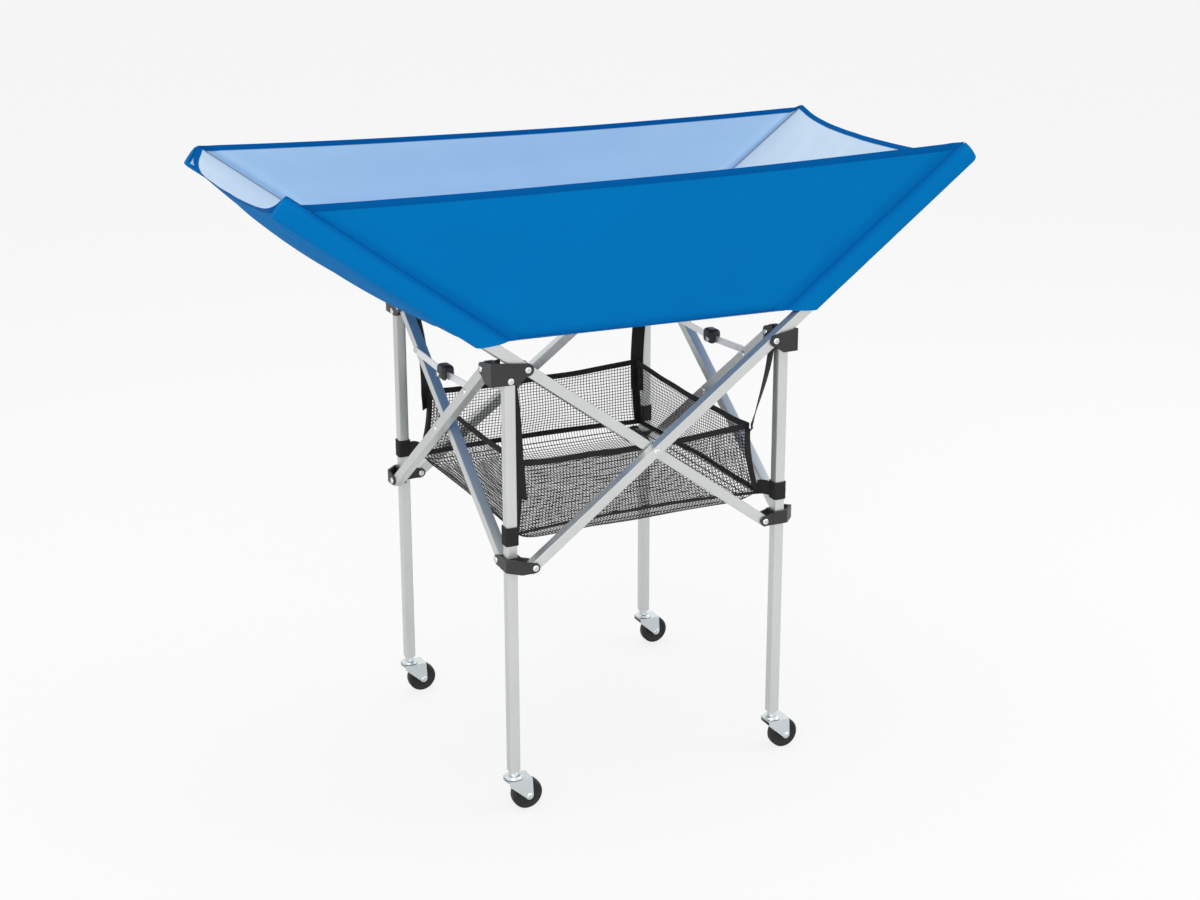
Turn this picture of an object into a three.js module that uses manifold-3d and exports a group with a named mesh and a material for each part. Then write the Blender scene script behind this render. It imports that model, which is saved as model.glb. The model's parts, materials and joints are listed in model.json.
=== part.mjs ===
// A folding ball cart: four square legs joined by a crossed pair of tubes on each side, a cloth
// hammock stretched between the long front and back tubes, a net tray below, and swivel castors.
// Millimetres, +Z up. The origin is on the floor, midway between the four legs; the wide side
// runs along X and the front faces -Y.
import * as THREE from 'three';
import { mergeVertices } from 'three/addons/utils/BufferGeometryUtils.js';
import Module from 'manifold-3d';

const wasm = await Module();
wasm.setup();

// Driving dimensions of the open frame
const legSpacing = 470;
const upperPivotZ = 719;
const lowerPivotZ = 413;
const pivotOffset = 28;
const armReach = 568;

// Tubes
const legTube = 18;
const legRound = 3;
const braceTube = 17;
const braceRound = 2;
const tubeWall = 1.3;
const planeStep = 19.5;
const braceEnd = 8.5;
const legTopDrop = 7;

// Clearances and overrun for cuts
const gap = 0.3;
const slideGap = 0.5;
const overrun = 2;

// Rivets and pins
const rivetRadius = 3;
const rivetHeadRadius = 5;
const rivetHeadHeight = 2;
const shoulderRadius = 6;
const stayPinRadius = 2.5;

// Moulded brackets
const cheek = 3;
const socketWall = 3;
const bracketDrop = 20;
const bracketRise = 16.5;
const bracketNoseRadius = 10;
const bracketFlatEnd = 14;
const legRivetDrop = 14;
const sliderDrop = 8;
const sliderRise = 13.5;
const sliderSlantEnd = 6;

// Folding stays on the left and right sides
const stayReach = 130;
const staySag = 6;
const stayWidth = 12;
const stayJoggleX = 21;
const stayJoggleRun = 4;
const knobBefore = 8.5;
const knobAfter = 18.5;
const knobDrop = 7.5;
const knobRise = 15;
const knobThickness = 20;
const knobRound = 6;
const knobSlotTop = 7.2;

// Castors
const wheelRadius = 25;
const wheelWidth = 18;
const tyreRound = 4;
const hubRadius = 9;
const hubProud = 1;
const axleRadius = 3;
const trail = 21;
const forkPlate = 2;
const wheelCrownGap = 3;
const forkWidth = 29;
const forkEndRadius = 6.5;
const forkFrontX = -12;
const forkBackX = 26;
const forkSkirt = 8;
const raceRadius = 14;
const raceHeight = 6;
const nutAcross = 15;
const nutHeight = 7.4;
const stemRadius = 4;
const stemHeadRadius = 6;
const stemPlugHeight = 26;

// Cloth hammock
const cloth = 1.5;
const sleeveBelow = 15;
const sleeveAbove = 22;
const sleeveSlack = 0.5;
const sleeveTipGap = 2;
const hammockBottomZ = 757;
const rimSag = 13;
const bottomSag = 16;
const endSeat = 13;
const endSagTop = 22;
const endSagMiddle = 44;
const endSagBottom = 30;
const sideBow = 5;

// Net tray, webbing and leg bands
const trayTopInset = 35;
const trayTopZ = 562;
const trayBottomZ = 450;
const trayBinding = 10;
const bindingThick = 3;
const netThick = 1.5;
const netBar = 8;
const netColumns = 9;
const netRows = 2;
const netFloorCells = 7;
const traySag = 24;
const webbing = 16;
const webbingThick = 1.5;
const strapTopZ = 712;
const strapTopInset = 18.5;
const strapLowZ = 482;
const bandLowZ = 446;
const bandHighZ = 475;
const bandThick = 1.5;

// Facets
const roundSides = 8;
const raceSides = 16;
const wheelSides = 20;
const cornerSteps = 1;
const noseSteps = 3;
const clothSteps = 10;

// Worked out from the sizes above
const half = legSpacing / 2;
const pivotX = half - pivotOffset;
const trayTopHalf = half - trayTopInset;
const strapTopHalf = half - strapTopInset;
const pivotRise = upperPivotZ - lowerPivotZ;
const braceSpan = Math.hypot(2 * pivotX, pivotRise);
const braceAngle = Math.atan2(pivotRise, 2 * pivotX);
const along = new THREE.Vector2(Math.cos(braceAngle), Math.sin(braceAngle));
const armLength = (armReach - pivotX) / along.x;
const braceHalf = braceTube / 2;
const legHalf = legTube / 2;
const crossZ = (upperPivotZ + lowerPivotZ) / 2;
const planeGap = planeStep - braceTube;
const cheekIn = braceHalf + gap;
const cheekOut = cheekIn + cheek;
const stayZ = crossZ + stayReach * along.y / along.x;
const stayAlong = stayReach / along.x;
const forkTopZ = 2 * wheelRadius + wheelCrownGap + forkPlate;
const raceTopZ = forkTopZ + gap + raceHeight;
const legBottomZ = raceTopZ + nutHeight + gap;

const aluminium = () => new THREE.MeshStandardMaterial({ color: 0xc8c9c9, roughness: 0.38, metalness: 0.9 });
const nylon = () => new THREE.MeshStandardMaterial({ color: 0x2c2c2e, roughness: 0.55, metalness: 0 });
const zinc = () => new THREE.MeshStandardMaterial({ color: 0xb9c0c2, roughness: 0.3, metalness: 1 });
const rubber = () => new THREE.MeshStandardMaterial({ color: 0x1c1c1d, roughness: 0.7, metalness: 0 });
const flatSteel = () => new THREE.MeshStandardMaterial({ color: 0xd2d4d8, roughness: 0.32, metalness: 0.9 });
const blueCloth = () => new THREE.MeshStandardMaterial({ color: 0x006cb5, roughness: 0.85, metalness: 0 });
const blackNet = () => new THREE.MeshStandardMaterial({ color: 0x1d1b1c, roughness: 0.9, metalness: 0 });
const blackWebbing = () => new THREE.MeshStandardMaterial({ color: 0x191819, roughness: 0.9, metalness: 0 });

// Closed geometry to solid and back

function toSolid(geometry) {
  const bare = geometry.clone();
  bare.deleteAttribute('normal');
  bare.deleteAttribute('uv');
  const merged = mergeVertices(bare, 1e-4);
  return new wasm.Manifold(new wasm.Mesh({
    numProp: 3,
    vertProperties: Float32Array.from(merged.attributes.position.array),
    triVerts: Uint32Array.from(merged.index.array),
  }));
}

function toGeometry(solid) {
  const mesh = solid.getMesh();
  const geometry = new THREE.BufferGeometry();
  geometry.setAttribute('position', new THREE.BufferAttribute(mesh.vertProperties, 3));
  geometry.setIndex(new THREE.BufferAttribute(mesh.triVerts, 1));
  return geometry;
}

function join(...solids) {
  return solids.reduce((whole, piece) => whole.add(piece));
}

function cut(solid, ...tools) {
  return tools.reduce((whole, tool) => whole.subtract(tool), solid);
}

// Plain shapes, each returned as a solid

function block(x0, x1, y0, y1, z0, z1) {
  const geometry = new THREE.BoxGeometry(x1 - x0, y1 - y0, z1 - z0);
  geometry.translate((x0 + x1) / 2, (y0 + y1) / 2, (z0 + z1) / 2);
  return toSolid(geometry);
}

// A rod along Y from y0 to y1, centred at x and z
function rodY(radius, y0, y1, x, z, sides = roundSides) {
  const geometry = new THREE.CylinderGeometry(radius, radius, Math.abs(y1 - y0), sides);
  geometry.translate(x, (y0 + y1) / 2, z);
  return toSolid(geometry);
}

// A rod along Z from z0 to z1, on the Z axis
function rodZ(radius, z0, z1, sides = roundSides) {
  const geometry = new THREE.CylinderGeometry(radius, radius, z1 - z0, sides);
  geometry.rotateX(Math.PI / 2);
  geometry.translate(0, 0, (z0 + z1) / 2);
  return toSolid(geometry);
}

// A domed rivet head along Y, its flat face at y and its dome towards the sign of side
function headY(x, y, z, side, radius = rivetHeadRadius) {
  const dome = [new THREE.Vector2(0, 0), new THREE.Vector2(radius, 0)];
  dome.push(new THREE.Vector2(radius * 0.6, rivetHeadHeight), new THREE.Vector2(0, rivetHeadHeight));
  const geometry = new THREE.LatheGeometry(dome, roundSides);
  if (side < 0) geometry.rotateX(Math.PI);
  geometry.translate(x, y, z);
  return toSolid(geometry);
}

// An outline in X and Z, carried from y0 to y1
function plateY(shape, y0, y1) {
  const geometry = new THREE.ExtrudeGeometry(shape, { depth: y1 - y0, bevelEnabled: false, curveSegments: noseSteps });
  geometry.rotateX(Math.PI / 2);
  geometry.translate(0, y1, 0);
  return toSolid(geometry);
}

// An outline in X and Y, carried from z0 to z1
function plateZ(shape, z0, z1) {
  const geometry = new THREE.ExtrudeGeometry(shape, { depth: z1 - z0, bevelEnabled: false, curveSegments: noseSteps });
  geometry.translate(0, 0, z0);
  return toSolid(geometry);
}

function roundedRectangle(x0, x1, y0, y1, radius) {
  const shape = new THREE.Shape();
  shape.moveTo(x0 + radius, y0);
  shape.lineTo(x1 - radius, y0);
  shape.absarc(x1 - radius, y0 + radius, radius, -Math.PI / 2, 0);
  shape.lineTo(x1, y1 - radius);
  shape.absarc(x1 - radius, y1 - radius, radius, 0, Math.PI / 2);
  shape.lineTo(x0 + radius, y1);
  shape.absarc(x0 + radius, y1 - radius, radius, Math.PI / 2, Math.PI);
  shape.lineTo(x0, y0 + radius);
  shape.absarc(x0 + radius, y0 + radius, radius, Math.PI, 1.5 * Math.PI);
  return shape;
}

// A square tube along Z with rounded corners
function squareTubeZ(side, radius, z0, z1) {
  const outer = side / 2;
  const inner = outer - tubeWall;
  const shape = roundedRectangle(-outer, outer, -outer, outer, radius);
  const bore = roundedRectangle(-inner, inner, -inner, inner, Math.max(radius - tubeWall, tubeWall / 2));
  shape.holes.push(new THREE.Path(bore.getPoints(cornerSteps)));
  const options = { depth: z1 - z0, bevelEnabled: false, curveSegments: cornerSteps };
  const geometry = new THREE.ExtrudeGeometry(shape, options);
  geometry.translate(0, 0, z0);
  return toSolid(geometry);
}

// Moves a flat shape, one unit thick about z = 0, to surface(u, v), its two sides standing off
// along the given direction
function bend(geometry, thickness, surface, normal) {
  const place = geometry.attributes.position;
  for (let i = 0; i < place.count; i++) {
    const point = surface(place.getX(i), place.getY(i));
    point.addScaledVector(normal, place.getZ(i) * thickness);
    place.setXYZ(i, point.x, point.y, point.z);
  }
  return geometry;
}

// A thin sheet of flat cells
function sheet(columns, rows, thickness, surface, normal) {
  const geometry = new THREE.BoxGeometry(1, 1, 1, columns, rows, 1);
  geometry.translate(0.5, 0.5, 0);
  return toSolid(bend(geometry, thickness, surface, normal));
}

// A net: square rings side by side, their corners moved to surface(u, v). The half-width of a bar
// is given as a share of the whole, across and up.
function net(columns, rows, barShares, thickness, surface, normal) {
  const rings = [];
  for (let row = 0; row < rows; row++) {
    for (let column = 0; column < columns; column++) {
      const low = new THREE.Vector2(column / columns, row / rows);
      const high = new THREE.Vector2((column + 1) / columns, (row + 1) / rows);
      const shape = new THREE.Shape(corners(low, high));
      shape.holes.push(new THREE.Path(corners(low.clone().add(barShares), high.clone().sub(barShares))));
      const ring = new THREE.ExtrudeGeometry(shape, { depth: 1, bevelEnabled: false });
      ring.translate(0, 0, -0.5);
      rings.push(toSolid(bend(ring, thickness, surface, normal)));
    }
  }
  return join(...rings);
}

function corners(low, high) {
  return [low, new THREE.Vector2(high.x, low.y), high, new THREE.Vector2(low.x, high.y)];
}

const bow = (u) => 4 * u * (1 - u);

// The scissor tubes. Each lies along X with its crossing point at the origin, and is tilted when
// it is placed. The inner tube's upper end is towards -X and the outer tube's towards +X; the
// outer tube crosses it on its -Y side.

function braceSolid(isInner, hasArm, hasStay) {
  const upper = -braceSpan / 2;
  const reach = hasArm ? armLength : braceEnd;
  const tube = squareTubeZ(braceTube, braceRound, upper - reach, braceSpan / 2 + braceEnd);
  let solid = tube.rotate([0, 90, 0]);
  for (const x of [upper, braceSpan / 2]) {
    const out = cheekOut + gap;
    solid = join(solid, rodY(rivetRadius, -out - overrun / 2, out + overrun / 2, x, 0));
    solid = join(solid, headY(x, -out, 0, -1), headY(x, out, 0, 1));
  }
  if (isInner) {
    solid = cut(solid, rodY(rivetRadius + gap, -braceTube, braceTube, 0, 0));
  } else {
    const far = planeStep + braceHalf + gap;
    solid = join(solid, rodY(rivetRadius, -braceHalf - rivetHeadHeight / 2, far + rivetHeadHeight / 2, 0, 0));
    solid = join(solid, rodY(shoulderRadius, braceHalf - tubeWall, braceHalf + planeGap - gap, 0, 0));
    solid = join(solid, headY(0, far, 0, 1), headY(0, -braceHalf, 0, -1));
  }
  if (hasStay && isInner) {
    const out = -braceHalf - planeGap;
    solid = join(solid, rodY(stayPinRadius, out - rivetHeadHeight / 2, 0, -stayAlong, 0));
    solid = join(solid, headY(-stayAlong, out, 0, -1));
    solid = join(solid, headY(-stayAlong, braceHalf, 0, 1));
  }
  if (hasStay && !isInner) {
    solid = join(solid, headY(-stayAlong, -braceHalf, 0, -1));
  }
  return isInner ? solid : solid.mirror([1, 0, 0]);
}

// The moulded bracket on top of a leg. The leg's axis is the origin of X and Y, and the pivots'
// height is the origin of Z. One fork points along +X in the inner plane, over the leg's top,
// and the other along +Y in the outer plane.

function forkOutline(start, drop, rise, flatEnd, noseRadius) {
  const shape = new THREE.Shape();
  shape.moveTo(start, -drop);
  shape.lineTo(flatEnd, -drop);
  shape.lineTo(pivotOffset, -noseRadius);
  shape.absarc(pivotOffset, 0, noseRadius, -Math.PI / 2, Math.PI / 2);
  shape.lineTo(start, rise);
  return shape;
}

function turnToY(solid) {
  return solid.mirror([1, -1, 0]);
}

function upperBracketSolid() {
  const outerSide = -planeStep - cheekOut;
  const outerIn = -planeStep + cheekIn;
  const socketOut = legHalf + gap + socketWall;
  const top = -legTopDrop + gap + socketWall;
  const outline = (start) => forkOutline(start, bracketDrop, bracketRise, bracketFlatEnd, bracketNoseRadius);
  const flank = -cheekOut;
  let solid = block(outerIn, socketOut, flank, socketOut, -bracketDrop, top);
  solid = join(solid, plateY(outline(outerSide), flank, flank + cheek));
  solid = join(solid, plateY(outline(legHalf + gap), cheekIn, cheekOut));
  solid = join(solid, turnToY(plateY(outline(flank), outerSide, outerSide + cheek)));
  solid = join(solid, turnToY(plateY(outline(legHalf + gap), outerIn, outerIn + cheek)));
  solid = join(solid, block(outerSide, outerIn + cheek / 2, flank, legHalf, -bracketDrop, -bracketDrop + cheek));
  const room = legHalf + gap;
  const bore = block(-room, room, -room, room, -bracketDrop - overrun, -legTopDrop + gap);
  const hole = rivetRadius + gap;
  const span = legSpacing;
  const riveted = rodY(hole, -span, span, 0, -legRivetDrop);
  const innerPivot = rodY(hole, -cheekOut - overrun, cheekOut + overrun, pivotOffset, 0);
  const outerPivot = turnToY(rodY(hole, outerSide - overrun, outerIn + cheek + overrun, pivotOffset, 0));
  return cut(solid, bore, riveted, innerPivot, outerPivot);
}

// The moulded bracket that slides on a leg, with its outer fork along +X and its inner fork
// along +Y, and a slanted cheek where the outer fork leaves the sleeve
function sliderSolid() {
  const outerSide = -planeStep - cheekOut;
  const outerIn = -planeStep + cheekIn;
  const sleeve = legHalf + slideGap + socketWall;
  const outline = (start) => forkOutline(start, sliderDrop, sliderRise, pivotOffset - sliderDrop, sliderDrop);
  let solid = block(-sleeve, sleeve, -sleeve, sleeve, -sliderDrop, sliderRise);
  solid = join(solid, plateY(outline(sliderSlantEnd), outerSide, outerSide + cheek));
  solid = join(solid, plateY(outline(legHalf + slideGap), outerIn, outerIn + cheek));
  solid = join(solid, turnToY(plateY(outline(legHalf + slideGap), -cheekOut, -cheekIn)));
  solid = join(solid, turnToY(plateY(outline(legHalf + slideGap), cheekIn, cheekOut)));
  const slant = new THREE.Shape();
  slant.moveTo(-sleeve, -sleeve);
  slant.lineTo(sliderSlantEnd, outerSide);
  slant.lineTo(sliderSlantEnd + cheek, outerSide);
  slant.lineTo(sliderSlantEnd + cheek, outerSide + cheek);
  slant.lineTo(-sleeve + cheek, -sleeve + cheek / 2);
  solid = join(solid, plateZ(slant, -sliderDrop, sliderRise));
  const room = legHalf + slideGap;
  const bore = block(-room, room, -room, room, -sliderDrop - overrun, sliderRise + overrun);
  const hole = rivetRadius + gap;
  const outerPivot = rodY(hole, outerSide - overrun, outerIn + cheek + overrun, pivotOffset, 0);
  const innerPivot = turnToY(rodY(hole, -cheekOut - overrun, cheekOut + overrun, pivotOffset, 0));
  return cut(solid, bore, outerPivot, innerPivot);
}

// A leg with the rivet that holds the upper bracket, on the leg's own axis
function legSolid() {
  const tube = squareTubeZ(legTube, legRound, legBottomZ, upperPivotZ - legTopDrop);
  const rivetZ = upperPivotZ - legRivetDrop;
  const front = -cheekOut - gap;
  const rear = legHalf + gap + socketWall + gap;
  const shank = rodY(rivetRadius, front - overrun / 2, rear + overrun / 2, 0, rivetZ);
  return join(tube, shank, headY(0, front, rivetZ, -1), headY(0, rear, rivetZ, 1));
}

// The fixed half of a castor: a plug in the leg, the nut, the ball race and the kingpin whose
// riveted end carries the fork
function stemSolid() {
  const plugRadius = legHalf - tubeWall - gap;
  const dome = [
    new THREE.Vector2(0, forkTopZ + gap),
    new THREE.Vector2(raceRadius, forkTopZ + gap),
    new THREE.Vector2(raceRadius, forkTopZ + gap + raceHeight / 3),
    new THREE.Vector2(raceRadius * 0.8, raceTopZ - raceHeight / 6),
    new THREE.Vector2(nutAcross / 2, raceTopZ),
    new THREE.Vector2(0, raceTopZ),
  ];
  const race = new THREE.LatheGeometry(dome, raceSides);
  race.rotateX(Math.PI / 2);
  const nut = rodZ(nutAcross / 2, raceTopZ - overrun / 2, legBottomZ - gap, 6);
  const plug = rodZ(plugRadius, legBottomZ - overrun, legBottomZ + stemPlugHeight);
  const kingpin = rodZ(stemRadius, forkTopZ - forkPlate - gap - overrun, raceTopZ);
  const foot = rodZ(stemHeadRadius, forkTopZ - forkPlate - gap - overrun, forkTopZ - forkPlate - gap);
  return join(toSolid(race), nut, plug, kingpin, foot);
}

// The swivelling fork, pressed from one plate: two cheeks that taper to the axle. The wheel
// trails towards +X, and the axle pin is riveted in the cheeks.
function forkSolid() {
  const inner = forkWidth / 2 - forkPlate;
  const side = new THREE.Shape();
  side.moveTo(forkFrontX, forkTopZ);
  side.lineTo(forkFrontX, forkTopZ - forkSkirt);
  side.lineTo(trail - forkEndRadius, wheelRadius - forkEndRadius / 3);
  side.absarc(trail, wheelRadius, forkEndRadius, 1.1 * Math.PI, 2 * Math.PI);
  side.lineTo(forkBackX, forkTopZ);
  const crown = block(forkFrontX, forkBackX, -forkWidth / 2, forkWidth / 2, forkTopZ - forkPlate, forkTopZ);
  let solid = join(crown, plateY(side, -forkWidth / 2, -inner), plateY(side, inner, forkWidth / 2));
  solid = join(solid, rodY(axleRadius, -forkWidth / 2, forkWidth / 2, trail, wheelRadius));
  solid = join(solid, headY(trail, -forkWidth / 2, wheelRadius, -1), headY(trail, forkWidth / 2, wheelRadius, 1));
  return cut(solid, rodZ(stemRadius + gap, forkTopZ - forkPlate - overrun, forkTopZ + overrun));
}

// A solid wheel with rounded edges, a raised hub and a bore, centred on the axle
function wheelGeometry() {
  const edge = wheelWidth / 2;
  const bore = axleRadius + gap;
  const web = edge - 2 * hubProud;
  const half = [
    new THREE.Vector2(bore, edge + hubProud),
    new THREE.Vector2(hubRadius, edge + hubProud),
    new THREE.Vector2(hubRadius, web),
    new THREE.Vector2(wheelRadius - 2 * tyreRound, web),
    new THREE.Vector2(wheelRadius - tyreRound, edge),
    new THREE.Vector2(wheelRadius, edge - tyreRound),
  ];
  const mirrored = half.map((point) => new THREE.Vector2(point.x, -point.y));
  const profile = [...mirrored, ...half.reverse(), mirrored[0].clone()];
  return new THREE.LatheGeometry(profile, wheelSides);
}

// The stay on the inner tube's side: a flat bar from the tube to the hinge, carrying the hinge
// rivet. The hinge is the origin, and the bar runs towards -X and up by the stay's sag.
function stayBarSolid() {
  const tilt = Math.atan2(staySag, stayReach);
  const length = Math.hypot(stayReach, staySag);
  const shape = new THREE.Shape();
  shape.absarc(0, 0, stayWidth / 2, -Math.PI / 2, Math.PI / 2);
  shape.absarc(-length, 0, stayWidth / 2, Math.PI / 2, 1.5 * Math.PI);
  const thick = planeGap / 2 - gap;
  let solid = cut(plateY(shape, -thick, thick), rodY(stayPinRadius + gap, -overrun, overrun, -length, 0));
  solid = solid.rotate([0, tilt * 180 / Math.PI, 0]);
  const out = knobThickness / 2 + gap;
  solid = join(solid, rodY(stayPinRadius, -out - overrun / 2, out + overrun / 2, 0, 0));
  return join(solid, headY(0, -out, 0, -1), headY(0, out, 0, 1));
}

// The stay on the outer tube's side: a flat bar that steps sideways past the other bar's end
function stayJoggledSolid() {
  const tilt = Math.atan2(staySag, stayReach);
  const length = Math.hypot(stayReach, staySag);
  const thick = planeGap / 2 - gap;
  const step = -2 * thick - gap;
  const shape = new THREE.Shape();
  shape.moveTo(-stayWidth / 2, step - thick);
  shape.lineTo(stayJoggleX, step - thick);
  shape.lineTo(stayJoggleX + stayJoggleRun, -thick);
  shape.lineTo(length + stayWidth / 2, -thick);
  shape.lineTo(length + stayWidth / 2, thick);
  shape.lineTo(stayJoggleX + stayJoggleRun - thick, thick);
  shape.lineTo(stayJoggleX - thick, step + thick);
  shape.lineTo(-stayWidth / 2, step + thick);
  const strip = plateZ(shape, -stayWidth / 2, stayWidth / 2);
  const bar = cut(strip, rodY(stayPinRadius + gap, -legTube, legTube, 0, 0));
  return bar.rotate([0, -tilt * 180 / Math.PI, 0]);
}

// The black hinge block that locks the stay: a rounded block open below, riveted at its lower end
function knobSolid() {
  const face = knobThickness / 2;
  const shape = roundedRectangle(-knobBefore, knobAfter, -knobDrop, knobRise, knobRound);
  const thick = planeGap / 2;
  const slot = block(
    -knobBefore - overrun, knobAfter + overrun,
    -2 * planeGap + thick, thick,
    -knobDrop - overrun, knobSlotTop,
  );
  return cut(plateY(shape, -face, face), slot, rodY(stayPinRadius + gap, -face - overrun, face + overrun, 0, 0));
}

// A point on an arm: s along it from the upper pivot, d square to it and upwards, for the arm
// that rises towards -X (side -1) or +X (side 1)
function armPoint(side, s, d, y) {
  const x = pivotX + s * along.x - d * along.y;
  return new THREE.Vector3(side * x, y, upperPivotZ + s * along.y + d * along.x);
}

// How far along an arm a line at height d above it reaches the level z
function armLevel(z, d) {
  return (z - upperPivotZ - d * along.x) / along.y;
}

// The sewn sleeve over an arm: a flattened tube of cloth, closed at the tip and cut level with
// the hammock's bottom. It is made along the arm that rises towards -X, in the plane y = 0.
function sleeveSolid() {
  const outY = braceHalf + sleeveSlack + cloth;
  const inY = outY - cloth;
  const start = armLevel(hammockBottomZ, sleeveAbove) - sleeveBelow;
  const end = armLength + sleeveTipGap;
  const outer = block(start, end + cloth, -outY, outY, -sleeveBelow, sleeveAbove);
  const inner = block(start - overrun, end, -inY, inY, -sleeveBelow + cloth, sleeveAbove - cloth);
  const tilted = cut(outer, inner).rotate([0, -braceAngle * 180 / Math.PI, 0]);
  const placed = tilted.translate([pivotX, 0, upperPivotZ]).mirror([1, 0, 0]);
  const below = block(-legSpacing * 2, 0, -legSpacing, legSpacing, 0, hammockBottomZ);
  return cut(placed, below);
}

const innerY = -half;
const outerY = -half - planeStep;
const seam = sleeveAbove + gap;
const tipS = armLength + sleeveTipGap + cloth;

// The front cloth panel, from the left arm's seam to the right arm's, in a plane that follows
// the two arms' own planes. Its bottom edge is level and its rim sags.
function frontPanelSolid() {
  const lowS = armLevel(hammockBottomZ, seam);
  const surface = (u, v) => {
    const s = THREE.MathUtils.lerp(lowS, tipS, v);
    const left = armPoint(-1, s, seam, innerY);
    const right = armPoint(1, s, seam, outerY);
    const point = left.lerp(right, u);
    point.z -= rimSag * bow(u) * v;
    point.y -= sideBow * bow(u) * bow(v);
    return point;
  };
  return sheet(clothSteps, clothSteps / 2, cloth, surface, new THREE.Vector3(0, -1, 0));
}

// How far an end panel hangs below its seat on the arms, from its bottom v = 0 to its rim v = 1
function endSag(v) {
  return THREE.MathUtils.lerp(endSagBottom, endSagTop, v) + (endSagMiddle - endSagBottom) * bow(v);
}

const sleeveFace = braceHalf + sleeveSlack + cloth + gap;
const endFrontY = innerY + sleeveFace;
const endBackY = -outerY - sleeveFace;

// A point of the left end panel, u from front to back and v from bottom to rim
function endPoint(u, v) {
  const d = endSeat - endSag(v) * bow(u);
  const lowS = armLevel(hammockBottomZ - bottomSag * bow(u) / 2, d);
  return armPoint(-1, THREE.MathUtils.lerp(lowS, tipS - cloth, v), d, THREE.MathUtils.lerp(endFrontY, endBackY, u));
}

function leftPanelSolid() {
  const normal = new THREE.Vector3(along.y, 0, along.x);
  return sheet(clothSteps, clothSteps / 2, cloth, (u, v) => endPoint(u, v), normal);
}

// The bottom panel hangs between the lower edges of the other four, notched round the sleeves
function bottomPanelSolid() {
  const clear = cloth / 2 + gap;
  const seamLowX = -armPoint(-1, armLevel(hammockBottomZ, seam), seam, 0).x;
  const leftEdge = (v) => {
    const y = THREE.MathUtils.lerp(innerY + clear, -outerY - clear, v);
    const share = THREE.MathUtils.inverseLerp(endFrontY, endBackY, y);
    return endPoint(share, 0).x + clear / along.y;
  };
  const surface = (u, v) => {
    const left = leftEdge(v);
    const right = -leftEdge(1 - v);
    const x = THREE.MathUtils.lerp(left, right, u);
    const share = (x / seamLowX + 1) / 2;
    const front = THREE.MathUtils.lerp(innerY, outerY, share) + clear;
    const back = -THREE.MathUtils.lerp(outerY, innerY, share) - clear;
    const y = THREE.MathUtils.lerp(front, back, v);
    const z = hammockBottomZ + cloth / 2 - bottomSag * bow(v) * (1 + bow(u)) / 2;
    return new THREE.Vector3(x, y, z);
  };
  const panel = sheet(clothSteps, clothSteps, cloth, surface, new THREE.Vector3(0, 0, 1));
  const low = hammockBottomZ - legSpacing / 2;
  const high = hammockBottomZ + legSpacing / 2;
  const far = legSpacing;
  const inside = seamLowX - gap;
  return cut(
    panel,
    block(-far, -inside, -far, endFrontY, low, high),
    block(inside, far, -far, -endBackY, low, high),
    block(-far, -inside, endBackY, far, low, high),
    block(inside, far, -endFrontY, far, low, high),
  );
}

// The tray's lower corners reach the bands on the legs
const bandOut = legHalf + gap + bandThick;
const trayBottomHalf = half - bandOut - gap;

// How far the tray's wall stands from the middle at the height z
function wallReach(z) {
  return THREE.MathUtils.mapLinear(z, trayBottomZ, trayTopZ, trayBottomHalf, trayTopHalf);
}

// The tray's four walls, flat nets that lean out towards their feet and meet at the corners
function netWallsSolid() {
  const footZ = trayBottomZ + trayBinding / 2 + gap;
  const topZ = trayTopZ - trayBinding / 2 - gap;
  const surface = (u, v) => {
    const z = THREE.MathUtils.lerp(footZ, topZ, v);
    const reach = wallReach(z) - netThick / 2;
    return new THREE.Vector3(reach * (2 * u - 1), -reach, z);
  };
  const bars = new THREE.Vector2(netBar / trayTopHalf / 4, netBar / (topZ - footZ) / 2);
  const wall = net(netColumns, netRows, bars, netThick, surface, new THREE.Vector3(0, -1, 0));
  return join(...[0, 1, 2, 3].map((turns) => wall.rotate([0, 0, 90 * turns])));
}

// The tray's floor as a net that hangs from the lower binding
function netFloorSolid() {
  const reach = trayBottomHalf - bindingThick - gap;
  const surface = (u, v) => {
    const z = trayBottomZ - traySag * bow(u) * bow(v);
    return new THREE.Vector3(reach * (2 * u - 1), reach * (2 * v - 1), z);
  };
  const bar = netBar / reach / 4;
  const bars = new THREE.Vector2(bar, bar);
  return net(netFloorCells, netFloorCells, bars, netThick, surface, new THREE.Vector3(0, 0, 1));
}

// A square frame of binding tape, outer half-width reach, centred at the height z
function bindingSolid(reach, z) {
  const low = z - trayBinding / 2;
  const high = z + trayBinding / 2;
  const inside = reach - bindingThick;
  return cut(
    block(-reach, reach, -reach, reach, low, high),
    block(-inside, inside, -inside, inside, low - overrun, high + overrun),
  );
}

// A webbing strap at the front left corner, from inside the upper bracket to the tray's corner
// and on down its edge, as a ribbon across the corner's diagonal
function strapSolid() {
  const proud = (webbingThick / 2 + gap) * Math.SQRT1_2;
  const rimHalf = trayTopHalf + proud;
  const lowHalf = wallReach(strapLowZ) + proud;
  const surface = (u, v) => {
    const upper = v > 0.5;
    const share = upper ? 2 * v - 1 : 2 * v;
    const reach = upper
      ? THREE.MathUtils.lerp(rimHalf, strapTopHalf, share)
      : THREE.MathUtils.lerp(lowHalf, rimHalf, share);
    const z = upper
      ? THREE.MathUtils.lerp(trayTopZ, strapTopZ, share)
      : THREE.MathUtils.lerp(strapLowZ, trayTopZ, share);
    const across = (u - 0.5) * webbing * Math.SQRT1_2;
    return new THREE.Vector3(-reach + across, -reach - across, z);
  };
  const normal = new THREE.Vector3(-Math.SQRT1_2, -Math.SQRT1_2, 0);
  return sheet(1, 2, webbingThick, surface, normal);
}

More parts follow.
